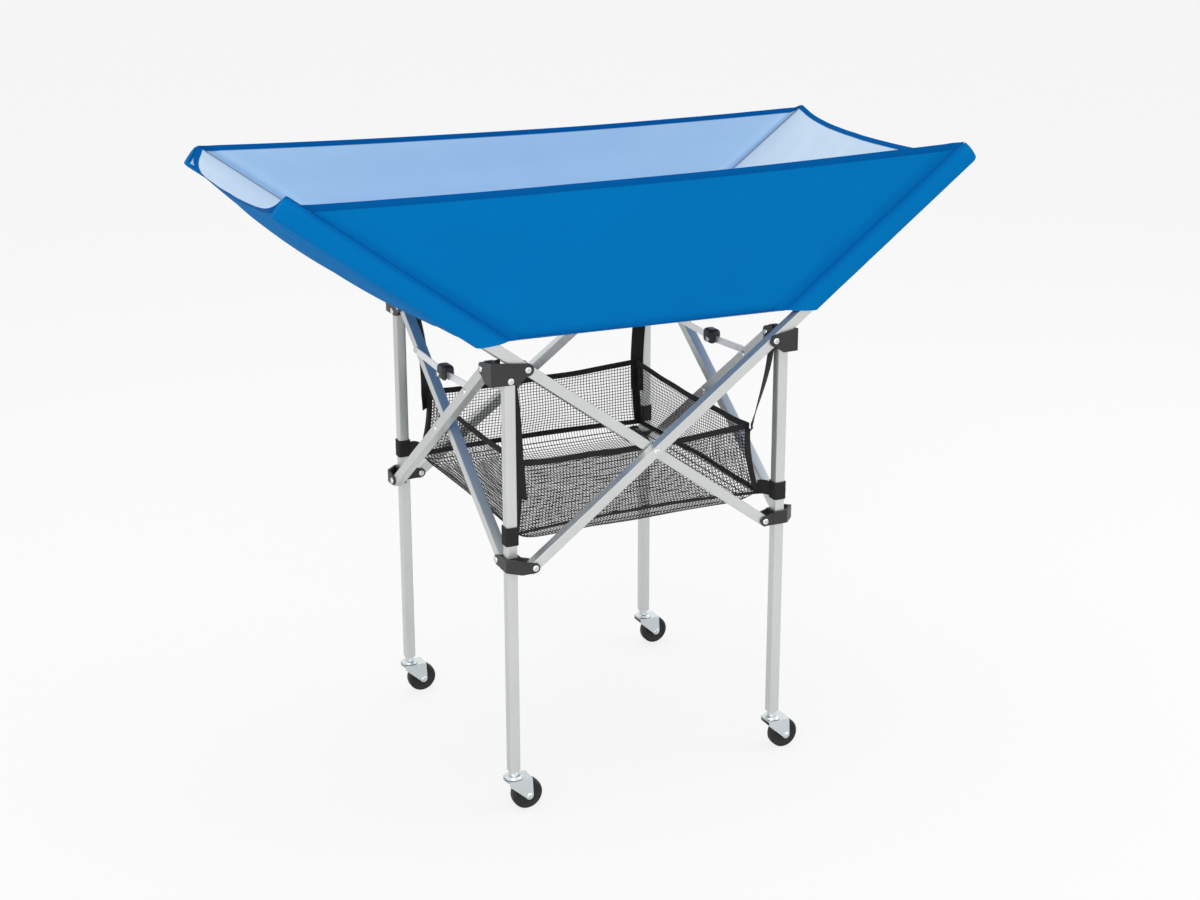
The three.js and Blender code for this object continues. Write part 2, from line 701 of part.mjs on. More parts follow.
function bandSolid() {
  const inner = legHalf + gap;
  return cut(
    block(-bandOut, bandOut, -bandOut, bandOut, bandLowZ, bandHighZ),
    block(-inner, inner, -inner, inner, bandLowZ - overrun, bandHighZ + overrun),
  );
}

// Assembly

const cart = new THREE.Group();

function add(parent, name, geometry, material) {
  const mesh = new THREE.Mesh(geometry, material);
  mesh.name = name;
  parent.add(mesh);
  return mesh;
}

function quarter(turns) {
  const group = new THREE.Group();
  group.rotation.z = turns * Math.PI / 2;
  cart.add(group);
  return group;
}

// The corners, made at the front left and turned a quarter each time
const upperBracket = toGeometry(upperBracketSolid());
const slider = toGeometry(sliderSolid());
const leg = toGeometry(legSolid());
const stem = toGeometry(stemSolid());
const fork = toGeometry(forkSolid());
const wheel = wheelGeometry();
const strap = toGeometry(strapSolid());
const band = toGeometry(bandSolid());

['front_left', 'front_right', 'back_right', 'back_left'].forEach((corner, turns) => {
  const place = quarter(turns);
  const axis = new THREE.Group();
  axis.position.set(-half, -half, 0);
  place.add(axis);
  add(axis, `${corner}_leg`, leg, aluminium());
  add(axis, `${corner}_upper_bracket`, upperBracket, nylon()).position.z = upperPivotZ;
  add(axis, `${corner}_slider`, slider, nylon()).position.z = lowerPivotZ;
  add(axis, `${corner}_leg_band`, band, blackWebbing());
  add(place, `${corner}_tray_strap`, strap, blackWebbing());
  // The castors all trail the same way, so they are turned back
  const castor = new THREE.Group();
  castor.rotation.z = -turns * Math.PI / 2;
  axis.add(castor);
  add(castor, `${corner}_castor_stem`, stem, zinc());
  add(castor, `${corner}_castor_fork`, fork, zinc());
  add(castor, `${corner}_castor_wheel`, wheel, rubber()).position.set(trail, 0, wheelRadius);
});

// The crossed tubes, made on the front and turned a quarter each time
['front', 'right', 'back', 'left'].forEach((side, turns) => {
  const place = quarter(turns);
  const hasArm = turns % 2 === 0;
  const inner = toGeometry(braceSolid(true, hasArm, !hasArm));
  const outer = toGeometry(braceSolid(false, hasArm, !hasArm));
  const innerTube = add(place, `${side}_inner_tube`, inner, aluminium());
  innerTube.position.set(0, innerY, crossZ);
  innerTube.rotation.y = braceAngle;
  const outerTube = add(place, `${side}_outer_tube`, outer, aluminium());
  outerTube.position.set(0, outerY, crossZ);
  outerTube.rotation.y = -braceAngle;
});

// The folding stays of the left and right sides, between the planes of the two tubes
const stayBar = toGeometry(stayBarSolid());
const stayJoggled = toGeometry(stayJoggledSolid());
const knob = toGeometry(knobSolid());
[['right', 1], ['left', 3]].forEach(([side, turns]) => {
  const hinge = new THREE.Group();
  hinge.position.set(0, innerY - braceHalf - planeGap / 2, stayZ - staySag);
  quarter(turns).add(hinge);
  add(hinge, `${side}_stay_bar`, stayBar, flatSteel());
  add(hinge, `${side}_stay_joggled_bar`, stayJoggled, flatSteel());
  add(hinge, `${side}_stay_knob`, knob, nylon());
});

// The cloth hammock. The back half is the front half turned half round.
const leftSleeve = sleeveSolid();
const frontLeftSleeve = toGeometry(leftSleeve.translate([0, innerY, 0]));
const frontRightSleeve = toGeometry(leftSleeve.mirror([1, 0, 0]).translate([0, outerY, 0]));
const frontPanel = toGeometry(frontPanelSolid());
const leftPanel = toGeometry(leftPanelSolid());
[['front', 'left', 'right', 0], ['back', 'right', 'left', 2]].forEach(([face, near, far, turns]) => {
  const place = quarter(turns);
  add(place, `${face}_${near}_arm_sleeve`, frontLeftSleeve, blueCloth());
  add(place, `${face}_${far}_arm_sleeve`, frontRightSleeve, blueCloth());
  add(place, `hammock_${face}_panel`, frontPanel, blueCloth());
  add(place, `hammock_${near}_panel`, leftPanel, blueCloth());
});
add(cart, 'hammock_bottom_panel', toGeometry(bottomPanelSolid()), blueCloth());

// The tray
add(cart, 'tray_wall_net', toGeometry(netWallsSolid()), blackNet());
add(cart, 'tray_floor_net', toGeometry(netFloorSolid()), blackNet());
add(cart, 'tray_top_binding', toGeometry(bindingSolid(trayTopHalf, trayTopZ)), blackWebbing());
add(cart, 'tray_bottom_binding', toGeometry(bindingSolid(trayBottomHalf, trayBottomZ)), blackWebbing());

export default cart;
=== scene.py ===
import json
import math

import bmesh
import bpy
from mathutils import Matrix, Vector, noise


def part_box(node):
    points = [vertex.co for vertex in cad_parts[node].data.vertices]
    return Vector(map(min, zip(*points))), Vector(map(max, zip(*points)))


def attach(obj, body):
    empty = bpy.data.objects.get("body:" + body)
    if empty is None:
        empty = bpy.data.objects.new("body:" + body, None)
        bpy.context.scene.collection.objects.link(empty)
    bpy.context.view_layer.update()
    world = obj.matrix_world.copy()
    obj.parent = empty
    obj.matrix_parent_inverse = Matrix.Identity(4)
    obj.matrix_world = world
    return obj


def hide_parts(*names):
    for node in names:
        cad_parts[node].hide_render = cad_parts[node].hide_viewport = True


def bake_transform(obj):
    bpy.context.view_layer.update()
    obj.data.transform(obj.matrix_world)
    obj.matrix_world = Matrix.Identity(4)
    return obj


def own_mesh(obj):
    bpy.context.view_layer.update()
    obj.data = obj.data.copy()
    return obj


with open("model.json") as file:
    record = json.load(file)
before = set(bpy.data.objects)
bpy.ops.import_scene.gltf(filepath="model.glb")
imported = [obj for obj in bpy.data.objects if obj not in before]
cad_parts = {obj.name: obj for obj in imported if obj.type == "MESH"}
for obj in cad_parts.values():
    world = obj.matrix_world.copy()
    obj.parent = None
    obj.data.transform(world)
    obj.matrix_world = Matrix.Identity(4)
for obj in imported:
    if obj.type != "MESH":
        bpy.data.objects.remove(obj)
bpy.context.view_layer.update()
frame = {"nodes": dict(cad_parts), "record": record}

# The camera: a little above the cart and off its front left corner, with a small upward shift,
# so that the legs stand nearly parallel.
camera_data = bpy.data.cameras.new("camera")
camera_data.sensor_width = 36
camera_data.lens = 55.206
camera_data.shift_y = -0.08
camera = bpy.data.objects.new("camera", camera_data)
camera.location = (-1.25105, -2.64007, 1.46349)
camera.rotation_euler = (math.pi / 2 - 0.2692, 0.0014, -0.4523)
bpy.context.scene.collection.objects.link(camera)
bpy.context.scene.camera = camera
bpy.context.scene.view_settings.view_transform = "Standard"


# The studio: a pale floor, an even white surround and four large soft lamps. The surround and
# the floor show white, and the floor keeps the cart's soft shadow.
def add_node(tree, kind, sockets=None, **settings):
    made = tree.nodes.new(kind)
    for name, value in settings.items():
        setattr(made, name, value)
    for name, value in (sockets or {}).items():
        socket = made.inputs[name]
        if isinstance(value, bpy.types.NodeSocket):
            tree.links.new(value, socket)
        else:
            socket.default_value = value
    return made


world = bpy.data.worlds.new("studio")
bpy.context.scene.world = world
world.use_nodes = True
tree = world.node_tree
tree.nodes.clear()
path = add_node(tree, "ShaderNodeLightPath")
seen = add_node(tree, "ShaderNodeMath", {0: path.outputs["Is Camera Ray"], 1: path.outputs["Is Glossy Ray"]},
                operation="MAXIMUM")
seen = add_node(tree, "ShaderNodeMath", {0: seen.outputs[0], 1: path.outputs["Is Transmission Ray"]},
                operation="MAXIMUM")
strength = add_node(tree, "ShaderNodeMapRange", {"Value": seen.outputs[0], "To Min": 0.72, "To Max": 1.0})
surround = add_node(tree, "ShaderNodeBackground",
                    {"Color": (1, 1, 1, 1), "Strength": strength.outputs["Result"]})
add_node(tree, "ShaderNodeOutputWorld", {"Surface": surround.outputs[0]})

lamps = [
    ("front_lamp", (-1.9, -3.1, 2.9), (0, 0, 0.6), 2.6, 50),
    ("right_lamp", (3.2, -1.2, 2.4), (0, 0, 0.6), 2.2, 22),
    ("top_lamp", (0.2, 0.6, 3.6), (0, 0, 0.7), 2.8, 28),
    ("low_lamp", (-2.6, -0.7, 0.4), (0, 0, 0.8), 1.6, 6),
]
for name, place, target, size, power in lamps:
    lamp = bpy.data.lights.new(name, "AREA")
    lamp.shape, lamp.size, lamp.energy = "SQUARE", size, power
    stand = bpy.data.objects.new(name, lamp)
    stand.location = place
    stand.visible_camera = False
    stand.rotation_euler = (Vector(target) - Vector(place)).to_track_quat("-Z", "Y").to_euler()
    bpy.context.scene.collection.objects.link(stand)

bm = bmesh.new()
bmesh.ops.create_grid(bm, x_segments=1, y_segments=1, size=20)
floor_mesh = bpy.data.meshes.new("floor")
bm.to_mesh(floor_mesh)
bm.free()
floor = bpy.data.objects.new("floor", floor_mesh)
bpy.context.scene.collection.objects.link(floor)
paper = bpy.data.materials.new("pale_floor")
paper.use_nodes = True
tree = paper.node_tree
tree.nodes.clear()
path = add_node(tree, "ShaderNodeLightPath")
matt = add_node(tree, "ShaderNodeBsdfDiffuse", {"Color": (0.86, 0.86, 0.86, 1)})
white = add_node(tree, "ShaderNodeEmission", {"Color": (1, 1, 1, 1), "Strength": 1.0})
seen = add_node(tree, "ShaderNodeMath", {0: path.outputs["Is Camera Ray"], 1: 0.78}, operation="MULTIPLY")
both = add_node(tree, "ShaderNodeMixShader", {0: seen.outputs[0], 1: matt.outputs[0], 2: white.outputs[0]})
add_node(tree, "ShaderNodeOutputMaterial", {"Surface": both.outputs[0]})
floor_mesh.materials.append(paper)


# Legs and scissor tubes: extruded square aluminium, anodised satin silver, with rounded corners.
# Each pair of tubes is riveted at its crossing, and its ends turn in the forks of the brackets.
def new_group(name, inputs, outputs):
    made = bpy.data.node_groups.new(name, "ShaderNodeTree")
    for label, kind, value in inputs:
        socket = made.interface.new_socket(label, in_out="INPUT", socket_type=kind)
        socket.default_value = value
    for label, kind in outputs:
        made.interface.new_socket(label, in_out="OUTPUT", socket_type=kind)
    return made, made.nodes.new("NodeGroupInput"), made.nodes.new("NodeGroupOutput")


# Fine lines along one axis, with a few longer rubbed patches: drawn metal
drawn_grain, given, result = new_group(
    "drawn_grain",
    [("Coordinates", "NodeSocketVector", (0, 0, 0)), ("Fineness", "NodeSocketFloat", 900.0)],
    [("Lines", "NodeSocketFloat"), ("Patches", "NodeSocketFloat")],
)
stretched = add_node(drawn_grain, "ShaderNodeVectorMath",
                     {0: given.outputs["Coordinates"], 1: (1.0, 1.0, 0.012)}, operation="MULTIPLY")
lines = add_node(drawn_grain, "ShaderNodeTexNoise",
                 {"Vector": stretched.outputs[0], "Scale": given.outputs["Fineness"], "Detail": 3.0})
patches = add_node(drawn_grain, "ShaderNodeTexNoise",
                   {"Vector": given.outputs["Coordinates"], "Scale": 14.0, "Detail": 4.0})
drawn_grain.links.new(lines.outputs[0], result.inputs["Lines"])
drawn_grain.links.new(patches.outputs[0], result.inputs["Patches"])


def metal(name, colour, dark, roughness, turn, metallic=0.9, fineness=900.0, depth=0.06):
    """A drawn or plated metal whose fine lines run along Z, after the pattern is turned."""
    made = bpy.data.materials.new(name)
    made.use_nodes = True
    tree = made.node_tree
    shader = tree.nodes["Principled BSDF"]
    place = add_node(tree, "ShaderNodeTexCoord")
    turned = add_node(tree, "ShaderNodeMapping", {"Vector": place.outputs["Object"], "Rotation": turn})
    grain = add_node(tree, "ShaderNodeGroup", node_tree=drawn_grain)
    tree.links.new(turned.outputs[0], grain.inputs["Coordinates"])
    grain.inputs["Fineness"].default_value = fineness
    mixed = add_node(tree, "ShaderNodeMix",
                     {"Factor": grain.outputs["Patches"], "A": (*dark, 1), "B": (*colour, 1)},
                     data_type="RGBA")
    tree.links.new(mixed.outputs["Result"], shader.inputs["Base Color"])
    rough = add_node(tree, "ShaderNodeMapRange", {"Value": grain.outputs["Lines"],
                                                  "To Min": roughness - 0.05, "To Max": roughness + 0.07})
    tree.links.new(rough.outputs["Result"], shader.inputs["Roughness"])
    shader.inputs["Metallic"].default_value = metallic
    bump = add_node(tree, "ShaderNodeBump", {"Height": grain.outputs["Lines"], "Strength": depth,
                                             "Distance": 0.0004})
    tree.links.new(bump.outputs[0], shader.inputs["Normal"])
    return made


def finish_mesh(bm, name, material, smooth=35, body=None, nodes=(), crisp=False):
    """Writes a bmesh to a smooth-shaded piece and hands it to its body."""
    mesh = bpy.data.meshes.new(name)
    bm.to_mesh(mesh)
    bm.free()
    if "custom_normal" in mesh.attributes:
        mesh.attributes.remove(mesh.attributes["custom_normal"])
    mesh.shade_smooth()
    mesh.set_sharp_from_angle(angle=math.radians(smooth))
    for finish in material if isinstance(material, list) else [material]:
        mesh.materials.append(finish)
    piece = bpy.data.objects.new(name, mesh)
    bpy.context.scene.collection.objects.link(piece)
    if crisp:
        flats = piece.modifiers.new("flat_faces", "WEIGHTED_NORMAL")
        flats.keep_sharp = True
        flats.weight = 100
    if body:
        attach(piece, body)
    if nodes:
        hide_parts(*nodes)
    return piece


def softened(node, edge, sharp=30, segments=2):
    """A merged copy of a CAD node whose sharp edges are rounded."""
    bm = bmesh.new()
    bm.from_mesh(frame["nodes"][node].data)
    bmesh.ops.remove_doubles(bm, verts=bm.verts, dist=2e-5)
    bmesh.ops.dissolve_limit(bm, angle_limit=math.radians(1.5), verts=bm.verts, edges=bm.edges)
    for face in bm.faces:
        face.material_index = 0
    edges = [e for e in bm.edges if len(e.link_faces) == 2 and e.calc_face_angle(0) > math.radians(sharp)]
    bmesh.ops.bevel(bm, geom=edges, offset=edge, offset_type="OFFSET", segments=segments, profile=0.5,
                    affect="EDGES", clamp_overlap=True, material=-1)
    return bm


corners = ["front_left", "front_right", "back_right", "back_left"]
body_of = {node: body for body, nodes in frame["record"]["behaviour"]["bodies"].items() for node in nodes}
tilt = math.atan2(0.306, 0.414)
silver, silver_dark = (0.69, 0.71, 0.695), (0.64, 0.655, 0.645)
leg_metal = metal("anodised_leg", silver, silver_dark, 0.42, (0, 0, 0), 0.8)
for corner in corners:
    node = corner + "_leg"
    finish_mesh(softened(node, 0.0005), node + "_tube", leg_metal, 50, body_of[node],
                [node], crisp=True)

side_turn = {
    "front": [(0, math.pi / 2 - tilt, 0), (0, tilt - math.pi / 2, 0)],
    "back": [(0, tilt - math.pi / 2, 0), (0, math.pi / 2 - tilt, 0)],
    "right": [(math.pi / 2 - tilt, 0, 0), (tilt - math.pi / 2, 0, 0)],
    "left": [(tilt - math.pi / 2, 0, 0), (math.pi / 2 - tilt, 0, 0)],
}
for side, turns in side_turn.items():
    for which, turn in zip(("inner", "outer"), turns):
        node = f"{side}_{which}_tube"
        finish = metal(f"anodised_{side}_{which}", silver, silver_dark, 0.42, turn, 0.8)
        finish_mesh(softened(node, 0.0004), node + "_brace", finish, 50, body_of[node],
                    [node], crisp=True)


# Upper brackets and sliders: moulded black nylon with softly rounded edges and a fine spark
# texture. The brackets are riveted to the legs, and the sliders run on them.
moulded_grain, given, result = new_group(
    "moulded_grain",
    [("Coordinates", "NodeSocketVector", (0, 0, 0)), ("Fineness", "NodeSocketFloat", 1400.0)],
    [("Grain", "NodeSocketFloat"), ("Rubbed", "NodeSocketFloat")],
)
spark = add_node(moulded_grain, "ShaderNodeTexNoise",
                 {"Vector": given.outputs["Coordinates"], "Scale": given.outputs["Fineness"], "Detail": 2.0})
rubbed = add_node(moulded_grain, "ShaderNodeTexNoise",
                  {"Vector": given.outputs["Coordinates"], "Scale": 60.0, "Detail": 4.0})
moulded_grain.links.new(spark.outputs[0], result.inputs["Grain"])
moulded_grain.links.new(rubbed.outputs[0], result.inputs["Rubbed"])


def black_finish(name, colour, roughness, fineness=1400.0, depth=0.25):
    """A black plastic, rubber or yarn, a little paler where it is rubbed."""
    made = bpy.data.materials.new(name)
    made.use_nodes = True
    tree = made.node_tree
    shader = tree.nodes["Principled BSDF"]
    place = add_node(tree, "ShaderNodeTexCoord")
    grain = add_node(tree, "ShaderNodeGroup", node_tree=moulded_grain)
    tree.links.new(place.outputs["Object"], grain.inputs["Coordinates"])
    grain.inputs["Fineness"].default_value = fineness
    pale = tuple(min(1, c * 1.5 + 0.004) for c in colour)
    mixed = add_node(tree, "ShaderNodeMix",
                     {"Factor": grain.outputs["Rubbed"], "A": (*colour, 1), "B": (*pale, 1)},
                     data_type="RGBA")
    tree.links.new(mixed.outputs["Result"], shader.inputs["Base Color"])
    rough = add_node(tree, "ShaderNodeMapRange", {"Value": grain.outputs["Rubbed"],
                                                  "To Min": roughness - 0.08, "To Max": roughness + 0.1})
    tree.links.new(rough.outputs["Result"], shader.inputs["Roughness"])
    shader.inputs["Specular IOR Level"].default_value = 0.35
    bump = add_node(tree, "ShaderNodeBump", {"Height": grain.outputs["Grain"], "Strength": depth,
                                             "Distance": 0.0003})
    tree.links.new(bump.outputs[0], shader.inputs["Normal"])
    return made


black_nylon = black_finish("black_nylon", (0.024, 0.0235, 0.025), 0.42)
for corner in corners:
    for kind, piece in (("upper_bracket", "fork_bracket"), ("slider", "sliding_bracket")):
        node = f"{corner}_{kind}"
        finish_mesh(softened(node, 0.0008), f"{corner}_{piece}", black_nylon, 50, body_of[node],
                    [node], crisp=True)


# The folding stays: on each end side, a plated flat bar and a joggled one, riveted to the tubes
# and joined by a rounded hinge block of black nylon that locks the frame open.
stay_metal = metal("plated_stay", (0.90, 0.91, 0.93), (0.87, 0.88, 0.90), 0.34, (math.pi / 2, 0, 0),
                   depth=0.008)
for side in ("left", "right"):
    for node, piece in ((f"{side}_stay_bar", "flat_bar"), (f"{side}_stay_joggled_bar", "stepped_bar")):
        finish_mesh(softened(node, 0.0003), f"{side}_{piece}", stay_metal, 50, body_of[node],
                    [node], crisp=True)
    node = f"{side}_stay_knob"
    low, high = (Vector(end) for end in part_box(node))
    centre, reach, round_off = (low + high) / 2, (high - low) / 2, 0.0065
    bm = softened(node, 0.0004)
    for axis in range(3):
        for inset in (0.0004, 0.0013, 0.0026, 0.0044, round_off):
            for sign in (-1, 1):
                at, way = centre.copy(), Vector((0, 0, 0))
                at[axis] += sign * (reach[axis] - inset)
                way[axis] = 1
                bmesh.ops.bisect_plane(bm, geom=bm.verts[:] + bm.edges[:] + bm.faces[:], plane_co=at,
                                       plane_no=way)
    for vert in bm.verts:
        core = Vector([max(round_off - r, min(r - round_off, c)) for c, r in zip(vert.co - centre, reach)])
        out = vert.co - centre - core
        if out.length > round_off:
            vert.co = centre + core + out.normalized() * round_off
    bmesh.ops.scale(bm, vec=(1.1, 1.1, 1.1), space=Matrix.Translation(-centre), verts=bm.verts)
    finish_mesh(bm, f"{side}_hinge_block", black_nylon, 40, body_of[node], [node])


# Rivets: bright steel heads, domed with a dimple whose floor is painted dark steel as shade, pressed up
# on both sides of every pivot and through each upper bracket into its leg.
def rivet(place, axis, radius=0.0052, height=0.0023):
    profile = [(0.0, height * 0.2), (radius * 0.40, height * 0.2), (radius * 0.46, height * 0.95),
               (radius * 0.60, height), (radius * 0.80, height * 0.8), (radius * 0.96, height * 0.4),
               (radius, 0.0), (radius, -0.0006)]
    bm = bmesh.new()
    made = [bm.verts.new((x, 0, z)) for x, z in profile]
    edges = [bm.edges.new(pair) for pair in zip(made, made[1:])]
    bmesh.ops.spin(bm, geom=made + edges, cent=(0, 0, 0), axis=(0, 0, 1), angle=2 * math.pi, steps=24,
                   use_merge=True)
    bmesh.ops.remove_doubles(bm, verts=bm.verts, dist=1e-6)
    rim = [e for e in bm.edges if e.is_boundary]
    bmesh.ops.holes_fill(bm, edges=rim, sides=0)
    bmesh.ops.recalc_face_normals(bm, faces=bm.faces)
    for face in bm.faces:
        centre = face.calc_center_median()
        # Faces in the dimple take the dark recess finish: painted shade.
        face.material_index = 1 if centre.xy.length < radius * 0.44 and centre.z > -0.0003 else 0
    turn = Vector(axis).to_track_quat("Z", "Y").to_matrix().to_4x4()
    bmesh.ops.transform(bm, matrix=Matrix.Translation(place) @ turn, verts=bm.verts)
    return bm


def gather(parts):
    """Joins several bmeshes into one."""
    whole = bmesh.new()
    for part in parts:
        mesh = bpy.data.meshes.new("part")
        part.to_mesh(mesh)
        part.free()
        whole.from_mesh(mesh)
        bpy.data.meshes.remove(mesh)
    return whole


def quarter(point, turns):
    return Matrix.Rotation(turns * math.pi / 2, 3, "Z") @ Vector(point)


# The second finish is steel painted dark: painted shade in the rivets' dimples.
rivet_steel = [metal("rivet_steel", (0.86, 0.86, 0.86), (0.78, 0.78, 0.78), 0.3, (0, 0, 0), 1.0, 1500.0),
               metal("rivet_recess_painted_shade", (0.20, 0.20, 0.20), (0.14, 0.14, 0.14), 0.5, (0, 0, 0), 0.6, 1500.0)]
half, step, pivot, top_z, low_z = 0.235, 0.0195, 0.207, 0.719, 0.413
tube_half, play, fork_wall = 0.0085, 0.0003, 0.003
head = tube_half + play + fork_wall + play
sides = ["front", "right", "back", "left"]
for turns, side in enumerate(sides):
    heads = {"inner": [], "outer": []}
    for which, plane, sign in (("inner", -half, -1), ("outer", -half - step, 1)):
        for x, z in ((sign * pivot, top_z), (-sign * pivot, low_z)):
            for out in (-1, 1):
                heads[which].append(rivet(quarter((x, plane + out * head, z), turns),
                                          quarter((0, out, 0), turns)))
    middle = (top_z + low_z) / 2
    heads["outer"].append(rivet(quarter((0, -half - step - tube_half, middle), turns),
                                quarter((0, -1, 0), turns)))
    heads["outer"].append(rivet(quarter((0, -half + 0.0088, middle), turns), quarter((0, 1, 0), turns)))
    if side in ("left", "right"):
        along = 0.130
        up = along * math.tan(tilt)
        heads["outer"].append(rivet(quarter((along, -half - step - tube_half, middle + up), turns),
                                    quarter((0, -1, 0), turns)))
        heads["inner"].append(rivet(quarter((-along, -half + tube_half, middle + up), turns),
                                    quarter((0, 1, 0), turns)))
    for which, parts in heads.items():
        finish_mesh(gather(parts), f"{side}_{which}_rivets", rivet_steel, 40, body_of[f"{side}_{which}_tube"])
for turns, corner in enumerate(corners):
    parts = [rivet(quarter((-half, -half - head, top_z - 0.014), turns), quarter((0, -1, 0), turns)),
             rivet(quarter((-half, -half + 0.0126, top_z - 0.014), turns), quarter((0, 1, 0), turns))]
    finish_mesh(gather(parts), f"{corner}_leg_rivets", rivet_steel, 40, body_of[corner + "_leg"])
for side, x in (("left", -0.24475), ("right", 0.24475)):
    parts = [rivet((x + out * 0.0112, 0, 0.6561), (out, 0, 0), 0.0044) for out in (-1, 1)]
    finish_mesh(gather(parts), f"{side}_hinge_rivets", rivet_steel, 40, body_of[f"{side}_stay_bar"])


# Castors: a zinc plated stem, nut and ball race in each leg's foot, a pressed fork that trails
# to the right, and a solid black rubber wheel.
def turned(profile, axis, centre, steps=48):
    """Spins a closed profile of (radius, height) pairs about an axis through centre."""
    bm = bmesh.new()
    made = [bm.verts.new((r, 0, z)) for r, z in profile]
    edges = [bm.edges.new(pair) for pair in zip(made, made[1:])]
    bmesh.ops.spin(bm, geom=made + edges, cent=(0, 0, 0), axis=(0, 0, 1), angle=2 * math.pi, steps=steps,
                   use_merge=True)
    bmesh.ops.remove_doubles(bm, verts=bm.verts, dist=1e-6)
    bmesh.ops.recalc_face_normals(bm, faces=bm.faces)
    turn = Vector(axis).to_track_quat("Z", "Y").to_matrix().to_4x4()
    bmesh.ops.transform(bm, matrix=Matrix.Translation(centre) @ turn, verts=bm.verts)
    return bm


zinc = metal("zinc_plate", (0.76, 0.80, 0.81), (0.68, 0.72, 0.73), 0.3, (0, 0, 0), 0.95, 500.0)
tyre = black_finish("black_rubber", (0.0125, 0.012, 0.012), 0.5, 900.0)
wheel_profile = [
    (0.0, -0.0098), (0.0085, -0.0098), (0.0090, -0.0093), (0.0092, -0.0072), (0.0170, -0.0072),
    (0.0182, -0.0078), (0.0196, -0.0089), (0.0212, -0.0090), (0.0232, -0.0082), (0.0246, -0.0062),
    (0.0250, -0.0035), (0.0250, 0.0035), (0.0246, 0.0062), (0.0232, 0.0082), (0.0212, 0.0090),
    (0.0196, 0.0089), (0.0182, 0.0078), (0.0170, 0.0072), (0.0092, 0.0072), (0.0090, 0.0093),
    (0.0085, 0.0098), (0.0, 0.0098),
]
race_profile = [
    (0.0, 0.0553), (0.0120, 0.0553), (0.0136, 0.0557), (0.0141, 0.0566), (0.0136, 0.0575), (0.0127, 0.0579),
    (0.0128, 0.0583), (0.0132, 0.0588), (0.0128, 0.0596), (0.0110, 0.0607), (0.0090, 0.0613), (0.0, 0.0614),
]
trail, wheel_radius = 0.021, 0.025
for corner in corners:
    sx = -half if "left" in corner else half
    sy = -half if "front" in corner else half
    stem = [turned(race_profile, (0, 0, 1), (sx, sy, 0))]
    nut = bmesh.new()
    bmesh.ops.create_cone(nut, cap_ends=True, segments=6, radius1=0.0075, radius2=0.0075, depth=0.0072)
    bmesh.ops.bevel(nut, geom=list(nut.edges), offset=0.0006, segments=2, profile=0.5, affect="EDGES",
                    material=-1)
    bmesh.ops.translate(nut, vec=(sx, sy, 0.0649), verts=nut.verts)
    plug_profile = [(0.0, 0.0506), (0.0055, 0.0506), (0.0058, 0.0512), (0.0040, 0.0522), (0.0040, 0.0600),
                    (0.0, 0.0601)]
    stem += [nut, turned(plug_profile, (0, 0, 1), (sx, sy, 0), 24)]
    washer = [(0.0, 0.0676), (0.0088, 0.0676), (0.0090, 0.0682), (0.0088, 0.0689), (0.0, 0.0689)]
    stem.append(turned(washer, (0, 0, 1), (sx, sy, 0), 32))
    finish_mesh(gather(stem), corner + "_castor_race", zinc, 40, body_of[corner + "_castor_stem"],
                [corner + "_castor_stem"])
    node = corner + "_castor_fork"
    axle = [rivet((sx + trail, sy + out * 0.0130, wheel_radius), (0, out, 0), 0.0036, 0.0008)
            for out in (-1, 1)]
    for face in (face for part in axle for face in part.faces):
        face.material_index = 0
    finish_mesh(gather([softened(node, 0.0006, 24)] + axle), corner + "_castor_horn", zinc, 40, body_of[node],
                [node], crisp=True)
    node = corner + "_castor_wheel"
    finish_mesh(turned(wheel_profile, (0, 1, 0), (sx + trail, sy, wheel_radius), 64),
                corner + "_castor_tyre", tyre, 40, body_of[node], [node])


# The hammock: one sewn piece of coated cloth, blue outside and pale inside, with a hem along its
# rim and a sleeve over each arm. The front and back panels are taut between the arms' seams.
woven_cloth, given, result = new_group(
    "woven_cloth",
    [("Place", "NodeSocketVector", (0, 0, 0)), ("Seams", "NodeSocketVector", (1, 1, 0)),
     ("Hem Width", "NodeSocketFloat", 0.0115)],
    [("Weave", "NodeSocketFloat"), ("Hem", "NodeSocketFloat"), ("Stitch", "NodeSocketFloat"),
     ("Cloud", "NodeSocketFloat"), ("Crease Shade", "NodeSocketFloat"), ("Thread", "NodeSocketFloat")],
)
apart = add_node(woven_cloth, "ShaderNodeSeparateXYZ", {"Vector": given.outputs["Place"]})
threads = []
for axis in ("X", "Y"):
    turns = add_node(woven_cloth, "ShaderNodeMath", {0: apart.outputs[axis], 1: 2 * math.pi / 0.0011},
                     operation="MULTIPLY")
    threads.append(add_node(woven_cloth, "ShaderNodeMath", {0: turns.outputs[0]}, operation="SINE"))
weave = add_node(woven_cloth, "ShaderNodeMath", {0: threads[0].outputs[0], 1: threads[1].outputs[0]},
                 operation="MULTIPLY")
inside_hem = add_node(woven_cloth, "ShaderNodeMath", {0: given.outputs["Hem Width"], 1: apart.outputs["Y"]},
                      operation="SUBTRACT")
hem = add_node(woven_cloth, "ShaderNodeMapRange", {"Value": inside_hem.outputs[0], "From Min": -0.0012,
                                                   "From Max": 0.0008}, interpolation_type="SMOOTHSTEP")
line = add_node(woven_cloth, "ShaderNodeMath", {0: inside_hem.outputs[0], 1: 0.0024, 2: 0.0005},
                operation="COMPARE")
dash = add_node(woven_cloth, "ShaderNodeMath", {0: apart.outputs["X"], 1: 0.0036}, operation="PINGPONG")
dash = add_node(woven_cloth, "ShaderNodeMath", {0: dash.outputs[0], 1: 0.0011}, operation="GREATER_THAN")
stitch = add_node(woven_cloth, "ShaderNodeMath", {0: line.outputs[0], 1: dash.outputs[0]},
                  operation="MULTIPLY")
seams = add_node(woven_cloth, "ShaderNodeSeparateXYZ", {"Vector": given.outputs["Seams"]})
